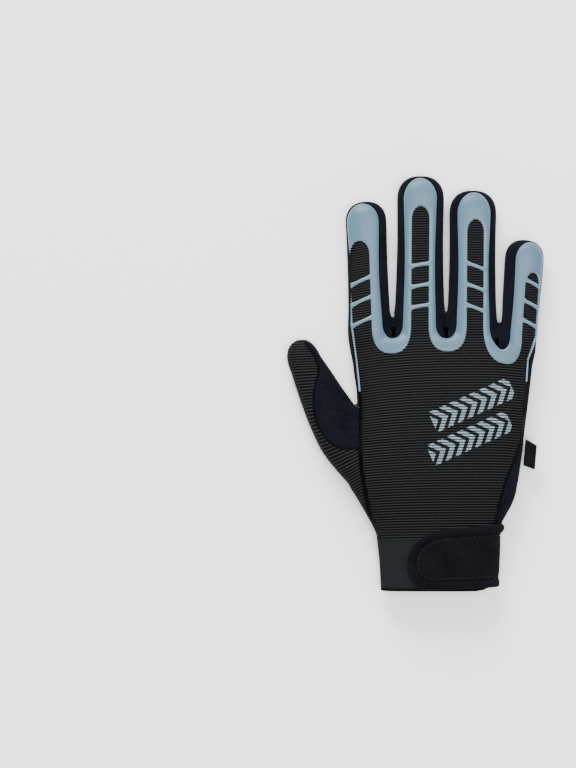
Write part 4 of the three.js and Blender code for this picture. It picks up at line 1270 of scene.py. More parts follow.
def wrist_table():
    """Points and normals of the wrist's upper half, by row and by distance round from the right."""
    rows = np.arange(-2, 44, WRIST_ROW)
    table = []
    for y in rows:
        section = (cuff_section if y < CUFF_HEIGHT else hand_section)(y, SEAM_GAP, RING_POINTS)
        upper = np.concatenate([section[-POINTS_BELOW:], section[:RING_POINTS // 2 + 1]])
        run = np.concatenate([[0], np.cumsum(np.linalg.norm(np.diff(upper, axis=0), axis=1))])
        run -= run[POINTS_BELOW]
        at = np.arange(WRIST_START, 96, WRIST_STEP)
        table.append(np.column_stack([np.interp(at, run, upper[:, k]) for k in range(3)]))
    table = np.array(table)
    for _ in range(3):
        table[1:-1] = table[1:-1] * 0.5 + (table[:-2] + table[2:]) * 0.25
    table[:, :, 1] = rows[:, None]
    across, along = np.gradient(table, axis=1), np.gradient(table, axis=0)
    normal = np.cross(along, across)
    return rows, table, normal / np.linalg.norm(normal, axis=2)[:, :, None]


WRIST_ROWS, WRIST, WRIST_NORMAL = wrist_table()


def on_wrist(flat, table):
    """Reads a wrist table at (distance round, y)."""
    c = np.clip((flat[:, 0] - WRIST_START) / WRIST_STEP, 0, table.shape[1] - 1.001)
    r = np.clip((flat[:, 1] - WRIST_ROWS[0]) / WRIST_ROW, 0, table.shape[0] - 1.001)
    i, j = r.astype(int), c.astype(int)
    u, v = (r - i)[:, None], (c - j)[:, None]
    low = table[i, j] * (1 - v) + table[i, j + 1] * v
    high = table[i + 1, j] * (1 - v) + table[i + 1, j + 1] * v
    return low * (1 - u) + high * u


print("wrist table:", WRIST.shape[:2])


# %% The strap's outline
def round_from_plan(plan):
    """Turns points in plan into (distance round, y) on the wrist."""
    flat = []
    for x, y in plan:
        row = WRIST[int(np.clip((y - WRIST_ROWS[0]) / WRIST_ROW, 0, len(WRIST) - 1))]
        order = row[int(-WRIST_START / WRIST_STEP):, 0]
        at = np.interp(-x, -order, np.arange(len(order)) * WRIST_STEP)
        flat.append((at if at > 0 else STRAP_TUCK, y))
    return np.array(flat)


def strap_outline(inset, count=60):
    """A tab with one lopsided round end, moved in by an inset."""
    right = CUFF["right"][2] * CUFF_WIDTH + STRAP_THICKNESS
    left = right - STRAP_LENGTH + inset
    low, high = STRAP_RISE + inset, STRAP_RISE + STRAP_HEIGHT - inset
    centre = low + (high - low) * STRAP_END["centre"]
    line = [(right, low + STRAP_CORNER)]
    for angle in np.linspace(-np.pi / 2, np.pi / 2, count):
        reach = (high - low) * STRAP_END["upper" if angle > 0 else "lower"]
        tall = high - STRAP_SHOULDER - centre if angle > 0 else centre - low
        back_by = reach * (1 - max(math.cos(angle), 0) ** STRAP_END["roundness"])
        line.append((left + back_by, centre + tall * math.sin(angle)))
    line.append((right, high))
    return round_from_plan(resampled(np.array(line), 0.5, closed=True))


print("strap outline:", len(strap_outline(0)), "points")

# %% Layers on the wrist
# Rows of points run on both sides of every edge, and a grid fills the rest.
EDGE_ROWS, ROW_CLEARANCE, GRID_CLEARANCE = (-0.45, -0.16, 0.16, 0.45), 0.12, 0.65


def layer_mesh(lines, spacing, fine):
    """Flat triangles inside the first line and outside the second."""
    def held(points):
        kept = inside(lines[0], points)
        for hole in lines[1:]:
            kept &= ~inside(hole, points)
        return kept

    grid = grid_over(lines[0].min(axis=0), lines[0].max(axis=0), spacing, spacing)
    free = [grid]
    for line in lines:
        run = np.roll(line, -1, axis=0) - line
        length = np.maximum(np.linalg.norm(run, axis=1), 1e-6)
        side = np.column_stack([-run[:, 1], run[:, 0]]) / length[:, None]
        free += [line + run / 2 + side * away for away in EDGE_ROWS]
    free = np.concatenate([group[held(group)] for group in free])
    least = np.where(np.arange(len(free)) < held(grid).sum(), GRID_CLEARANCE, ROW_CLEARANCE)
    free = free[distance_to(fine, free) > least]
    flat, triangles = triangulated(np.concatenate([*lines, free]), loop_edges(lines))
    return only_used(flat, triangles[held(flat[triangles].mean(axis=1))])


def one_way(piece):
    """Turns a closed piece's faces to look outward."""
    work = bmesh.new()
    work.from_mesh(piece.data)
    bmesh.ops.recalc_face_normals(work, faces=work.faces)
    work.to_mesh(piece.data)
    work.free()
    return piece


def wrist_layer(name, outlines, spacing, height_at):
    """A closed layer on the wrist: its height comes from the distance to its edges."""
    lines = [resampled(line, 0.5, closed=True) for line in outlines]
    fine = np.concatenate([resampled(line, 0.2, closed=True) for line in lines])
    flat, triangles = layer_mesh(lines, spacing, fine)
    base, normal = on_wrist(flat, WRIST), on_wrist(flat, WRIST_NORMAL)
    height = height_at(distance_to(fine[fine[:, 0] > STRAP_TUCK + 0.7], flat))
    top, bottom = base + normal * height[:, None], base + normal * LAYER_BOTTOM
    return one_way(closed_sheet(name, top, bottom, triangles))


# %% Binding and core
LAYER_BOTTOM, LAYER_RIM = 0.05, 0.15


def dome(away, radius, height):
    """A quarter round that starts at an edge."""
    share = np.clip(away / radius, 0, 1)
    return height * np.sqrt(np.clip(1 - (1 - share) ** 2, 0, 1))


def binding_height(away):
    return LAYER_RIM + dome(away, 1.0, 1.75) + 0.45 * dome(away, 2.35, 1)


def core_height(away):
    """The core is low along its stitched groove and rises a little to its middle."""
    groove = 0.5 * np.exp(-(((away - 1.5) / 0.45) ** 2))
    return LAYER_RIM + dome(away, 0.7, 1.75) - groove + 0.2 * edge_fade(away - 2, 6)


binding_lines = [strap_outline(0), strap_outline(BINDING_WIDTH - SEAM_GAP)]
binding = wrist_layer("bound_edge", binding_lines, 0.8, binding_height)
core = wrist_layer("strap_pad", [strap_outline(BINDING_WIDTH - 0.1)], 0.9, core_height)
print("strap:", len(binding.data.polygons), "+", len(core.data.polygons), "faces")

# %% [markdown]
# ## The side tag
# The tag is one strip of tape folded in half and caught in the side seam. Its profile is drawn once, out
# along the lower leaf, round the fold and back along the upper one, and repeated along its length.

# %% Side tag
TAG_LENGTH, TAG_REACH, TAG_THICKNESS, TAPE = 15.5, 8, 1.2, 0.5
TAG_LEAN, TAG_SWING = math.radians(-26), math.radians(-5)
TAG_FOOT, TAG_DROOP, TAG_TAPER = 0.6, 0.5, 0.012


def folded_line(half, reach):
    """A line out along one leaf, round the fold and back, half a thickness from the middle."""
    line = [(u, -half) for u in np.linspace(TAG_FOOT, reach, 16)]
    line += [(reach + half * math.cos(a), half * math.sin(a))
             for a in np.linspace(-np.pi / 2, np.pi / 2, 9)[1:-1]]
    return line + [(u, half) for u in np.linspace(reach, TAG_FOOT, 16)]


def side_tag():
    start = at_hand(0.456, 0.426)
    across = np.array([math.cos(TAG_LEAN), math.sin(TAG_LEAN)])
    along = np.array([-math.sin(TAG_SWING), math.cos(TAG_SWING)])
    low = HAND_THICKNESS * WIDEST_LEVEL
    centre_z, reach = low + TAG_THICKNESS / 2, TAG_REACH - TAG_THICKNESS / 2
    half = TAG_THICKNESS / 2
    profile = folded_line(half, reach) + folded_line(half - TAPE, reach)[::-1]
    rows = []
    for v in np.linspace(-TAG_LENGTH / 2, TAG_LENGTH / 2, 32):
        droop = TAG_DROOP * (v / TAG_LENGTH) ** 2
        rows.append([(*(start + across * u + along * v * (1 - TAG_TAPER * u)),
                      centre_z + w - droop * (u / reach)) for u, w in profile])
    points, faces = tube([np.array(row) for row in rows])
    return one_way(piece_from("folded_tape", points, faces))


tag = side_tag()
print("side tag:", len(tag.data.polygons), "faces")

# %% [markdown]
# ## The palm pads
# Three cells of gel lie under the palm, sewn down round their edge and along two channels. Each is a
# flat pillow that is pinned at its seam. A short cloth simulation with a little air pressure and no
# gravity fills it, as gel fills the real one. Its swell is then kept within the pad's thickness.

# %% Pad outline and channels
PAD_OUTLINE = {
    "x": [-0.158, 0.29, 0.37, 0.394, 0.382, 0.355, 0.239, 0.113, -0.002, -0.075, -0.137, -0.169],
    "y": [0.859, 0.841, 0.795, 0.733, 0.446, 0.241, 0.177, 0.191, 0.318, 0.492, 0.676, 0.803],
}
PAD_CHANNELS = [(0.732, 0.666), (0.511, 0.448)]
CHANNEL_WIDTH, PAD_GRID, PAD_RIM_STEP = 2, 0.85, 0.8
PAD_LIP, PAD_SHOULDER, PAD_TUCK = 0.3, 5.0, 0.2
PAD_FRAMES, GEL_PRESSURE, GEL_FILL = 20, 4, 0.5


def channel_height(channel, x):
    """Where a sewn channel crosses x, as a share of the hand's length."""
    return channel[0] + (channel[1] - channel[0]) * (x / HAND_WIDTH + 0.14) / 0.53


def pad_zone(number):
    """A test for which points in plan lie in one of the three cells."""
    def held(plan):
        y = (plan[:, 1] - CUFF_HEIGHT) / HAND_LENGTH
        half = CHANNEL_WIDTH / 2 / HAND_LENGTH
        kept = np.ones(len(plan), bool)
        if number > 0:
            kept &= y < channel_height(PAD_CHANNELS[number - 1], plan[:, 0]) - half
        if number < 2:
            kept &= y > channel_height(PAD_CHANNELS[number], plan[:, 0]) + half
        return kept
    return held


def soft_corners(line, times=2):
    """Cuts the corners of a closed line until it is a smooth curve."""
    for _ in range(times):
        after = np.roll(line, -1, axis=0)
        line = np.stack([line * 0.75 + after * 0.25, line * 0.25 + after * 0.75], 1).reshape(-1, 2)
    return line


PAD_EDGE = soft_corners(np.array([at_hand(x, y) for x, y in zip(PAD_OUTLINE["x"], PAD_OUTLINE["y"])]))
print("pad outline:", len(PAD_EDGE), "points")


# %% The pads' flat meshes
def pad_sheet(number):
    """A cell's points in plan and its triangles."""
    held = pad_zone(number)
    edge = resampled(PAD_EDGE, PAD_RIM_STEP, closed=True)
    border = [edge[held(edge)]]
    for channel, side in ((number - 1, -1), (number, 1)):
        if 0 <= channel < len(PAD_CHANNELS):
            x = np.arange(-0.2, 0.42, PAD_RIM_STEP / HAND_WIDTH) * HAND_WIDTH
            middle = CUFF_HEIGHT + channel_height(PAD_CHANNELS[channel], x) * HAND_LENGTH
            line = np.column_stack([x, middle + side * (CHANNEL_WIDTH / 2 + 0.01)])
            border.append(line[inside(PAD_EDGE, line)])
    border = np.concatenate(border)
    grid = grid_over((-22, 40), (46, 140), PAD_GRID, PAD_GRID)
    free = grid[inside(PAD_EDGE, grid) & held(grid)]
    free = free[distance_to(border, free) > 0.5]
    plan, triangles = triangulated(np.concatenate([border, free]), [])
    centre = plan[triangles].mean(axis=1)
    return only_used(plan, triangles[inside(PAD_EDGE, centre) & held(centre)])


print("cells in plan:", [len(pad_sheet(number)[0]) for number in range(3)], "points")


# %% Filling the pads
def blown_up(pad, sewn):
    """Fills a pillow with pressure while its sewn points stay in place."""
    pinned = pad.vertex_groups.new(name="sewn")
    pinned.add([int(i) for i in sewn], 1.0, "REPLACE")
    cloth = pad.modifiers.new("gel", "CLOTH")
    cloth.settings.vertex_group_mass = "sewn"
    cloth.settings.use_pressure = True
    cloth.settings.uniform_pressure_force = GEL_PRESSURE
    cloth.settings.effector_weights.gravity = 0
    cloth.settings.quality = 5
    cloth.settings.mass = 0.2
    cloth.point_cache.frame_start = 1
    cloth.point_cache.frame_end = PAD_FRAMES
    for frame_number in range(1, PAD_FRAMES + 1):
        bpy.context.scene.frame_set(frame_number)
    applied(pad)
    bpy.context.scene.frame_set(1)


def gel_pad(number):
    plan, triangles = pad_sheet(number)
    floor_side = PAD_THICKNESS - PAD_LIP
    top = np.column_stack([plan, np.full(len(plan), PAD_THICKNESS)])
    bottom = np.column_stack([plan, np.full(len(plan), floor_side)])
    pad = closed_sheet(f"gel_pad_{number + 1}", top, bottom, triangles)
    rim = np.unique(rim_edges(triangles))
    blown_up(pad, np.concatenate([rim, np.arange(len(plan)), rim + len(plan)]))
    points = points_of(pad)
    lower = np.arange(len(points)) >= len(plan)
    puff = np.where(lower, np.clip(floor_side - points[:, 2], 0, None), 0)
    shape = dome(distance_to(plan[rim], points), PAD_SHOULDER, 1.0)
    if puff.max() > 0.05:
        shape = shape * 0.5 + 0.5 * np.clip(puff / np.percentile(puff[lower], 92), 0, 1)
    points[:, :2] = np.concatenate([plan, plan])
    points[:, 2] = np.where(lower, floor_side - floor_side * shape, PAD_THICKNESS + PAD_TUCK)
    set_points(pad, points)
    return pad


pads = [gel_pad(number) for number in range(3)]
print("pads:", [len(pad.data.polygons) for pad in pads], "faces")

# %% [markdown]
# ## Thread
# Each stitch is a short length of thread that comes up, lies on the cloth and goes down again, so it is
# a thin bent rod that is highest in the middle. Rows of them show on the strap, round and between the
# gel pads, and along the touch panel's edge.

# %% Stitch helpers
def stitch_row(points, normals, pitch, length, radius, sides=6, steps=5):
    """Points and faces of rods laid end to end along a line on a surface."""
    run = np.concatenate([[0], np.cumsum(np.linalg.norm(np.diff(points, axis=0), axis=1))])
    rods, faces = [], []
    for start in np.arange(0, run[-1] - length, pitch):
        at = np.linspace(start, start + length, steps)
        spine = np.column_stack([np.interp(at, run, points[:, k]) for k in range(3)])
        up = np.column_stack([np.interp(at, run, normals[:, k]) for k in range(3)])
        lift = np.sin(np.pi * np.linspace(0, 1, steps)) * radius * 1.7 - radius * 0.9
        spine += up * lift[:, None]
        along = np.gradient(spine, axis=0)
        along /= np.linalg.norm(along, axis=1)[:, None]
        side = np.cross(along, up)
        side /= np.linalg.norm(side, axis=1)[:, None]
        top = np.cross(side, along)
        first = len(rods) * steps * sides
        rings = [spine + radius * (math.cos(a) * side + math.sin(a) * top)
                 for a in 2 * np.pi * np.arange(sides) / sides]
        rod, rod_faces = tube(list(np.array(rings).transpose(1, 0, 2)))
        rods.append(rod)
        faces += [[first + i for i in face] for face in rod_faces]
    return np.concatenate(rods), faces


def stitched(name, rows, pitch=3.1, length=2.3, radius=0.2):
    """One piece with the stitches of several rows, each a line and its normals."""
    points, faces, count = [], [], 0
    for line, normals in rows:
        rod_points, rod_faces = stitch_row(line, normals, pitch, length, radius)
        points.append(rod_points)
        faces += [[count + i for i in face] for face in rod_faces]
        count += len(rod_points)
    return one_way(piece_from(name, np.concatenate(points), faces))


def under_skin(plan):
    """Points on the palm's underside under points in plan, with normals that look down."""
    hits = [SKIN.ray_cast((x, y, BELOW), (0, 0, 1)) for x, y in plan]
    return np.array([hit[0] for hit in hits]), np.array([hit[1] for hit in hits])


one_stitch = stitch_row(np.array([[0, 0, 0], [3, 0, 0]]), np.array([[0, 0, 1], [0, 0, 1]]), 3, 2, 0.2)
print("a stitch has", len(one_stitch[0]), "points")

# %% Stitches of the strap
GROOVE_INSET, GROOVE_DEPTH, STRAP_STITCHES_FROM = 1.4, 1.5, 2.2
strap_line = resampled(strap_outline(BINDING_WIDTH + GROOVE_INSET), 0.5, closed=True)
strap_line = strap_line[strap_line[:, 0] > STRAP_STITCHES_FROM]
gap = int(np.argmax(np.linalg.norm(np.diff(strap_line, axis=0), axis=1))) + 1
strap_line = np.roll(strap_line, -gap, axis=0)
groove_normal = on_wrist(strap_line, WRIST_NORMAL)
groove = on_wrist(strap_line, WRIST) + groove_normal * GROOVE_DEPTH
strap_stitches = stitched("strap_thread", [(groove, groove_normal)])
print("strap stitches:", len(strap_stitches.data.polygons), "faces")

# %% Stitches of the pads and of the touch panel
PAD_SEAM, PATCH_SEAM, PATCH_ROW = 0.9, 1.1, 0.82
outward = np.roll(PAD_EDGE, -1, axis=0) - np.roll(PAD_EDGE, 1, axis=0)
outward = np.column_stack([-outward[:, 1], outward[:, 0]]) / np.linalg.norm(outward, axis=1)[:, None]
pad_rows = [resampled(PAD_EDGE + outward * PAD_SEAM, PAD_RIM_STEP, closed=True)]
for channel in PAD_CHANNELS:
    x = np.arange(-22, 45, PAD_RIM_STEP)
    line = np.column_stack([x, CUFF_HEIGHT + channel_height(channel, x) * HAND_LENGTH])
    pad_rows.append(line[inside(PAD_EDGE, line)])
pad_stitches = stitched("pad_thread", [under_skin(row) for row in pad_rows])

patch_start, patch_end = patch_zone(0)[:2]
half_share = PATCH_ROW / (2 * PATCH_WIDE)
share = np.linspace(0.5 - half_share, 0.5 + half_share, 40)[:, None]
patch_row = patch_start + (patch_end - patch_start) * share - FINGERS[0]["along"] * PATCH_SEAM
patch_stitches = stitched("patch_thread", [under_skin(patch_row)], pitch=2.6, length=1.9)
print("palm stitches:", len(pad_stitches.data.polygons) + len(patch_stitches.data.polygons), "faces")

# %% [markdown]
# ## Materials
# All the cloth is nearly black, so its looks come from how little light it sends back: fibres scatter
# it and don't shine. Two small groups of nodes do what several cloths share. `fibres` is fuzz: fine
# noise for the nap and broad noise for where it was brushed. The crest group turns the height of a rib,
# which the mesh carries at every point, into a mask of painted light: a painted highlight on the ridge
# and painted shade in the groove.

# %% Node helpers
def group_of(name, inputs, outputs):
    tree = bpy.data.node_groups.new(name, "ShaderNodeTree")
    for label, value in inputs.items():
        socket = tree.interface.new_socket(label, in_out="INPUT", socket_type="NodeSocketFloat")
        socket.default_value = value
    for label in outputs:
        tree.interface.new_socket(label, in_out="OUTPUT", socket_type="NodeSocketFloat")
    return tree, tree.nodes.new("NodeGroupInput"), tree.nodes.new("NodeGroupOutput")


def math_node(tree, operation, first, second=0.0):
    """Joins two numbers or outputs in a Math node and gives its output."""
    node = tree.nodes.new("ShaderNodeMath")
    node.operation = operation
    for socket, value in zip(node.inputs, (first, second)):
        if isinstance(value, (int, float)):
            socket.default_value = value
        else:
            tree.links.new(value, socket)
    return node.outputs[0]


def noise_node(tree, where, scale, detail):
    node = tree.nodes.new("ShaderNodeTexNoise")
    tree.links.new(where, node.inputs["Vector"])
    if isinstance(scale, (int, float)):
        node.inputs["Scale"].default_value = scale
    else:
        tree.links.new(scale, node.inputs["Scale"])
    node.inputs["Detail"].default_value = detail
    return node.outputs["Fac"]


print("node helpers ready, groups so far:", len(bpy.data.node_groups))


# %% Fibres and crests
def fibres_group():
    tree, given, result = group_of("fibres", {"Fuzz Scale": 2600, "Patch Scale": 90}, ("Tone", "Height"))
    where = tree.nodes.new("ShaderNodeTexCoord").outputs["Object"]
    fuzz = noise_node(tree, where, given.outputs["Fuzz Scale"], 3)
    patch = noise_node(tree, where, given.outputs["Patch Scale"], 2)
    fine, broad = math_node(tree, "MULTIPLY", fuzz, 0.7), math_node(tree, "MULTIPLY", patch, 0.3)
    tone = math_node(tree, "ADD", fine, broad)
    sharp = tree.nodes.new("ShaderNodeMapRange")
    tree.links.new(tone, sharp.inputs["Value"])
    sharp.inputs["From Min"].default_value = 0.36
    sharp.inputs["From Max"].default_value = 0.64
    tree.links.new(sharp.outputs["Result"], result.inputs["Tone"])
    tree.links.new(fuzz, result.inputs["Height"])
    return tree


# Painted light: this mask paints a highlight on each rib's crest and shade in its groove.
def crest_highlight_group():
    tree, given, result = group_of("crest_highlights", {"Threshold": 0.5, "Thread Scale": 900}, ("Mask",))
    crest = tree.nodes.new("ShaderNodeAttribute")
    crest.attribute_name = "crest"
    ridge = tree.nodes.new("ShaderNodeMapRange")
    ridge.interpolation_type = "SMOOTHSTEP"
    tree.links.new(crest.outputs["Fac"], ridge.inputs["Value"])
    tree.links.new(given.outputs["Threshold"], ridge.inputs["From Min"])
    where = tree.nodes.new("ShaderNodeTexCoord").outputs["Object"]
    thread = noise_node(tree, where, given.outputs["Thread Scale"], 2)
    broken = math_node(tree, "MULTIPLY", ridge.outputs["Result"], math_node(tree, "ADD", thread, 0.45))
    tree.links.new(broken, result.inputs["Mask"])
    return tree


FIBRES, CREST_HIGHLIGHTS = fibres_group(), crest_highlight_group()
print("groups:", FIBRES.name, CREST_HIGHLIGHTS.name)


# %% Material helpers
def use_group(material, group, **values):
    node = material.node_tree.nodes.new("ShaderNodeGroup")
    node.node_tree = group
    for label, value in values.items():
        node.inputs[label.replace("_", " ")].default_value = value
    return node


def tinted(material, mask, dark, light, socket="Base Color"):
    """Mixes two colours by a mask into the material's base colour."""
    tree = material.node_tree
    mix = tree.nodes.new("ShaderNodeMix")
    mix.data_type = "RGBA"
    tree.links.new(mask, mix.inputs["Factor"])
    mix.inputs["A"].default_value = (*dark, 1)
    mix.inputs["B"].default_value = (*light, 1)
    tree.links.new(mix.outputs["Result"], tree.nodes["Principled BSDF"].inputs[socket])


def bumped(material, height, strength, depth):
    tree = material.node_tree
    bump = tree.nodes.new("ShaderNodeBump")
    bump.inputs["Strength"].default_value = strength
    bump.inputs["Distance"].default_value = depth
    tree.links.new(height, bump.inputs["Height"])
    tree.links.new(bump.outputs["Normal"], tree.nodes["Principled BSDF"].inputs["Normal"])


def plain_material(name, roughness, specular, sheen=0.0, sheen_roughness=0.5):
    material = bpy.data.materials.new(name)
    material.use_nodes = True
    shader = material.node_tree.nodes["Principled BSDF"]
    shader.inputs["Roughness"].default_value = roughness
    shader.inputs["Specular IOR Level"].default_value = specular
    shader.inputs["Sheen Weight"].default_value = sheen
    shader.inputs["Sheen Roughness"].default_value = sheen_roughness
    return material


print("materials so far:", len(bpy.data.materials))


# %% Cloths
def nap_cloth(name, dark, light, fuzz, depth):
    """A napped cloth: two tones by its fuzz, which also roughens its surface."""
    material = plain_material(name, 0.95, 0.035, 0.012, 0.6)
    fibres = use_group(material, FIBRES, Fuzz_Scale=fuzz)
    tinted(material, fibres.outputs["Tone"], dark, light)
    bumped(material, fibres.outputs["Height"], 0.6, depth)
    return material


def ridge_cloth(name, dark, light, threshold, thread, roughness):
    """A ribbed or twill cloth with painted light: a painted highlight on its ridges and painted shade in
    its grooves.
    """
    material = plain_material(name, roughness, 0.05)
    crest_highlights = use_group(material, CREST_HIGHLIGHTS, Threshold=threshold, Thread_Scale=thread)
    tinted(material, crest_highlights.outputs["Mask"], dark, light)
    fibres = use_group(material, FIBRES, Fuzz_Scale=3200)
    bumped(material, fibres.outputs["Height"], 0.4, 0.0001)
    return material


suede_cloth = nap_cloth("navy suede", dark=(0.0011, 0.0013, 0.0024), light=(0.0047, 0.0057, 0.0098),
                        fuzz=1900, depth=0.00022)
strap_cloth = nap_cloth("strap cloth", dark=(0.0013, 0.0013, 0.0021), light=(0.0045, 0.0045, 0.007),
                        fuzz=1500, depth=0.00012)
touch_cloth = nap_cloth("touch cloth", dark=(0.003, 0.0038, 0.0038), light=(0.011, 0.0135, 0.013),
                        fuzz=2600, depth=0.00006)
thread = nap_cloth("sewing thread", dark=(0.006, 0.0065, 0.009), light=(0.02, 0.022, 0.028),
                   fuzz=5000, depth=0.00004)
tape = nap_cloth("side tape", dark=(0.002, 0.0022, 0.0026), light=(0.006, 0.0065, 0.007),
                 fuzz=3000, depth=0.00005)
# In the ribbed cloths the light colour is a painted highlight on the ridges and the dark colour is
# painted shade in the grooves.
KNIT = dict(dark=(0.0006, 0.0006, 0.0007), light=(0.019, 0.02, 0.0212),
            threshold=0.6, thread=1100, roughness=0.8)
ribbed_cloth = ridge_cloth("ribbed cloth", **KNIT)
elastic = ridge_cloth("cuff elastic", dark=(0.0012, 0.0015, 0.0017), light=(0.0225, 0.026, 0.027),
                      threshold=0.5, thread=1500, roughness=0.85)
print("materials:", [material.name for material in bpy.data.materials])

# %% [markdown]
# ## The print
# The back carries two slanted bands of chevrons, like the marks of a tyre. They could be an image, but
# a mask made of sums and comparisons stays sharp at any size. The ink lies on the ribs' crests alone, so
# the grooves break it up as they break up any print on a ribbed cloth.

# %% Tread print
TREAD_MEASURES = {
    "Angle": 0.42, "Band Pitch": 0.017, "Band Height": 0.0125, "Chevron Pitch": 0.0062,
    "Length": 0.05, "Lowest": -0.05, "Start": -0.0095, "Step": 0.009,
}
CHEVRON_SLANT, CHEVRON_SHARE = 0.9, 0.56


def tread_group():
    """Two slanted bands of chevrons, like the marks of a tyre, as a mask in plan."""
    tree, given, result = group_of("tread print", TREAD_MEASURES, ("Mask",))
    give = given.outputs
    place = tree.nodes.new("ShaderNodeSeparateXYZ")
    tree.links.new(tree.nodes.new("ShaderNodeTexCoord").outputs["Object"], place.inputs[0])
    x, y = place.outputs["X"], place.outputs["Y"]

    def calc(*terms):
        return math_node(tree, *terms)

    cosine, sine = calc("COSINE", give["Angle"]), calc("SINE", give["Angle"])
    u = calc("ADD", calc("MULTIPLY", x, cosine), calc("MULTIPLY", y, sine))
    v = calc("SUBTRACT", calc("MULTIPLY", y, cosine), calc("MULTIPLY", x, sine))
    level = calc("DIVIDE", calc("SUBTRACT", v, give["Lowest"]), give["Band Pitch"])
    band = calc("FLOOR", level)
    from_middle = calc("SUBTRACT", calc("FRACT", level), 0.5)
    off = calc("ABSOLUTE", calc("MULTIPLY", from_middle, give["Band Pitch"]))
    in_band = calc("LESS_THAN", off, calc("MULTIPLY", give["Band Height"], 0.5))
    two_bands = calc("MULTIPLY", calc("GREATER_THAN", band, -0.5), calc("LESS_THAN", band, 1.5))
    band_start = calc("ADD", give["Start"], calc("MULTIPLY", band, give["Step"]))
    from_start = calc("SUBTRACT", u, band_start)
    started, ended = calc("GREATER_THAN", from_start, 0.0), calc("LESS_THAN", from_start, give["Length"])
    in_length = calc("MULTIPLY", started, ended)
    slanted = calc("ADD", from_start, calc("MULTIPLY", off, CHEVRON_SLANT))
    stripes = calc("FRACT", calc("DIVIDE", slanted, give["Chevron Pitch"]))
    chevrons = calc("LESS_THAN", stripes, CHEVRON_SHARE)
    across = calc("MULTIPLY", in_band, two_bands)
    print_mask = calc("MULTIPLY", across, calc("MULTIPLY", in_length, chevrons))
    tree.links.new(print_mask, result.inputs["Mask"])
    return tree


def printed(material, ink):
    """Prints the tread marks on the crests of a ribbed cloth."""
    tree = material.node_tree
    shader = tree.nodes["Principled BSDF"]
    bare = shader.inputs["Base Color"].links[0].from_socket
    marks = use_group(material, TREAD)
    crest_highlights = use_group(material, CREST_HIGHLIGHTS, Threshold=0.12, Thread_Scale=900)
    mix = tree.nodes.new("ShaderNodeMix")
    mix.data_type = "RGBA"
    inked = math_node(tree, "MULTIPLY", marks.outputs["Mask"], crest_highlights.outputs["Mask"])
    tree.links.new(inked, mix.inputs["Factor"])
    tree.links.new(bare, mix.inputs["A"])
    mix.inputs["B"].default_value = (*ink, 1)
    tree.links.new(mix.outputs["Result"], shader.inputs["Base Color"])
    return material


TREAD = tread_group()
printed_cloth = printed(ridge_cloth("printed ribbed cloth", **KNIT), ink=(0.2, 0.27, 0.31))
print("print nodes:", len(TREAD.nodes))

# %% [markdown]
# ## The rubber
# The guard is moulded grey-blue rubber with a soft shine. The mesh stores how far every point is from
# an edge, and the material reads that number to paint a highlight on the thin rim: it is tinted lighter
# there.


# %% Guard rubber
def guard_material():
    """Moulded rubber: a soft shine, and a painted highlight, a lighter tone, where it thins out at an
    edge.
    """
    material = plain_material("guard rubber", 0.4, 0.3)
    tree = material.node_tree
    edge = tree.nodes.new("ShaderNodeAttribute")
    edge.attribute_name = "from_edge"
    rim = tree.nodes.new("ShaderNodeMapRange")
    rim.interpolation_type = "SMOOTHSTEP"
    tree.links.new(edge.outputs["Fac"], rim.inputs["Value"])
    rim.inputs["From Min"].default_value = 0.1
    rim.inputs["From Max"].default_value = 1.3
    # Painted highlight: the rubber is tinted lighter within about a millimetre of its edge and darker
    # over the dome.
    tinted(material, rim.outputs["Result"], (0.12, 0.197, 0.247), (0.062, 0.12, 0.166))
    fibres = use_group(material, FIBRES, Fuzz_Scale=500)
    bumped(material, fibres.outputs["Height"], 0.12, 0.0003)
    return material


rubber = guard_material()
print("rubber:", rubber.name)

# %% [markdown]
# ## Dressing the solids
# Every piece takes its material, rides on the glove's one body and stands for the solid of its panel.
# The stitches stand for no solid of their own. The meshes that only cut others are thrown away.

# %% Pieces, nodes and slots
PIECES = [
    (palm, "palm_panel", "suede", suede_cloth),
    (side_walls[0], "fourchette_index_middle", "suede", suede_cloth),
    (side_walls[1], "fourchette_middle_ring", "suede", suede_cloth),
    (side_walls[2], "fourchette_ring_little", "suede", suede_cloth),
    (gusset, "thumb_gusset", "suede", suede_cloth),
    (touch_panel, "touch_patch", "touch_cloth", touch_cloth),
    (back, "back_panel", "ribbed_cloth", printed_cloth),
    (thumb_panel, "thumb_back", "ribbed_cloth", ribbed_cloth),
    (guard, "finger_guard", "guard_rubber", rubber),
    (cuff, "cuff_band", "elastic", elastic),
    (core, "strap_core", "strap_cloth", strap_cloth),
    (binding, "strap_binding", "strap_cloth", strap_cloth),
    (tag, "side_tag", "tape", tape),
    (pads[0], "palm_pad_1", "suede", suede_cloth),
    (pads[1], "palm_pad_2", "suede", suede_cloth),
    (pads[2], "palm_pad_3", "suede", suede_cloth),
    (strap_stitches, None, "strap_cloth", thread),
    (pad_stitches, None, "suede", thread),
    (patch_stitches, None, "suede", thread),
]
for piece, node, slot, material in PIECES:
    piece.data.materials.clear()
    piece.data.materials.append(material)
    piece.data.shade_smooth()
    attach(piece, "root")
    if node:
        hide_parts(node)

discard(outer, inner, skin_shell, above_cuff, back_cutter, back_fingers, past_knuckles, patch_room,
        *web_rooms, gusset_room, thumb_room, pins, patch_cutter, gusset_cutter, under_room)
print("pieces:", len(PIECES), "faces:", sum(len(piece.data.polygons) for piece, *_ in PIECES))

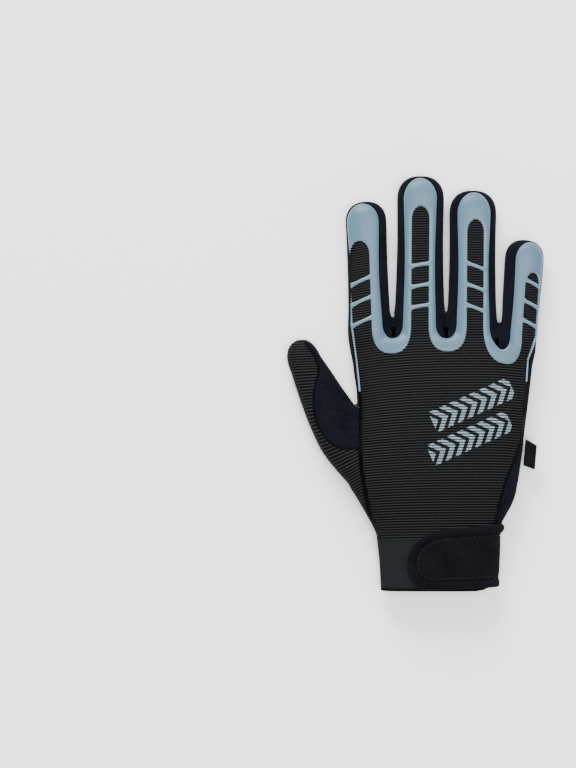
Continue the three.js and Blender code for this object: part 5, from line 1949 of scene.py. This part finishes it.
# %% [markdown]
# ## The studio
# The glove lies on a white paper floor, as in a catalogue. Black cloth needs a large soft light from
# above to show its relief, and a second one low behind the fingertips draws a highlight along the ribs
# and the rubber. The camera hangs straight above with a long lens, so the glove isn't distorted.

# %% Floor and world
FLOOR_SIZE, WORLD_LIGHT = 8, 1.1
floor_material = plain_material("paper floor", 0.9, 0.1)
floor_material.node_tree.nodes["Principled BSDF"].inputs["Base Color"].default_value = (1, 1, 1, 1)
bpy.ops.mesh.primitive_plane_add(size=FLOOR_SIZE, location=(0, 0, 0))
floor = bpy.context.object
floor.name = "paper_floor"
floor.data.materials.append(floor_material)

world = bpy.data.worlds.new("studio")
bpy.context.scene.world = world
world.use_nodes = True
world.node_tree.nodes["Background"].inputs["Color"].default_value = (1, 1, 1, 1)
world.node_tree.nodes["Background"].inputs["Strength"].default_value = WORLD_LIGHT
print("floor:", floor.name, "world:", world.name)


# %% Softboxes
def softbox(name, place, power, size):
    """A square soft light that looks at the middle of the floor."""
    lamp = bpy.data.lights.new(name, "AREA")
    lamp.energy, lamp.size = power, size
    stand = bpy.data.objects.new(name, lamp)
    stand.location = place
    stand.rotation_euler = (-Vector(place)).to_track_quat("-Z", "Y").to_euler()
    bpy.context.scene.collection.objects.link(stand)


softbox("window", place=(-0.5, 1.9, 1.25), power=80, size=0.9)
softbox("overhead", place=(0.3, -0.2, 2.9), power=95, size=1.6)
print("lights:", [lamp.name for lamp in bpy.data.lights])

# %% Camera
CAMERA_LENS, CAMERA_PLACE = 202.7, (-0.0737, -0.00044, 2.512)
camera_data = bpy.data.cameras.new("camera")
camera_data.lens, camera_data.sensor_fit, camera_data.sensor_width = CAMERA_LENS, "AUTO", 36
camera = bpy.data.objects.new("camera", camera_data)
camera.location = CAMERA_PLACE
bpy.context.scene.collection.objects.link(camera)
bpy.context.scene.camera = camera
print("camera at", CAMERA_PLACE, "with a lens of", CAMERA_LENS)

# %% [markdown]
# ## Finishing
# The view layer is updated once more, so every piece stands where it was put.

# %% Finish
bpy.context.view_layer.update()
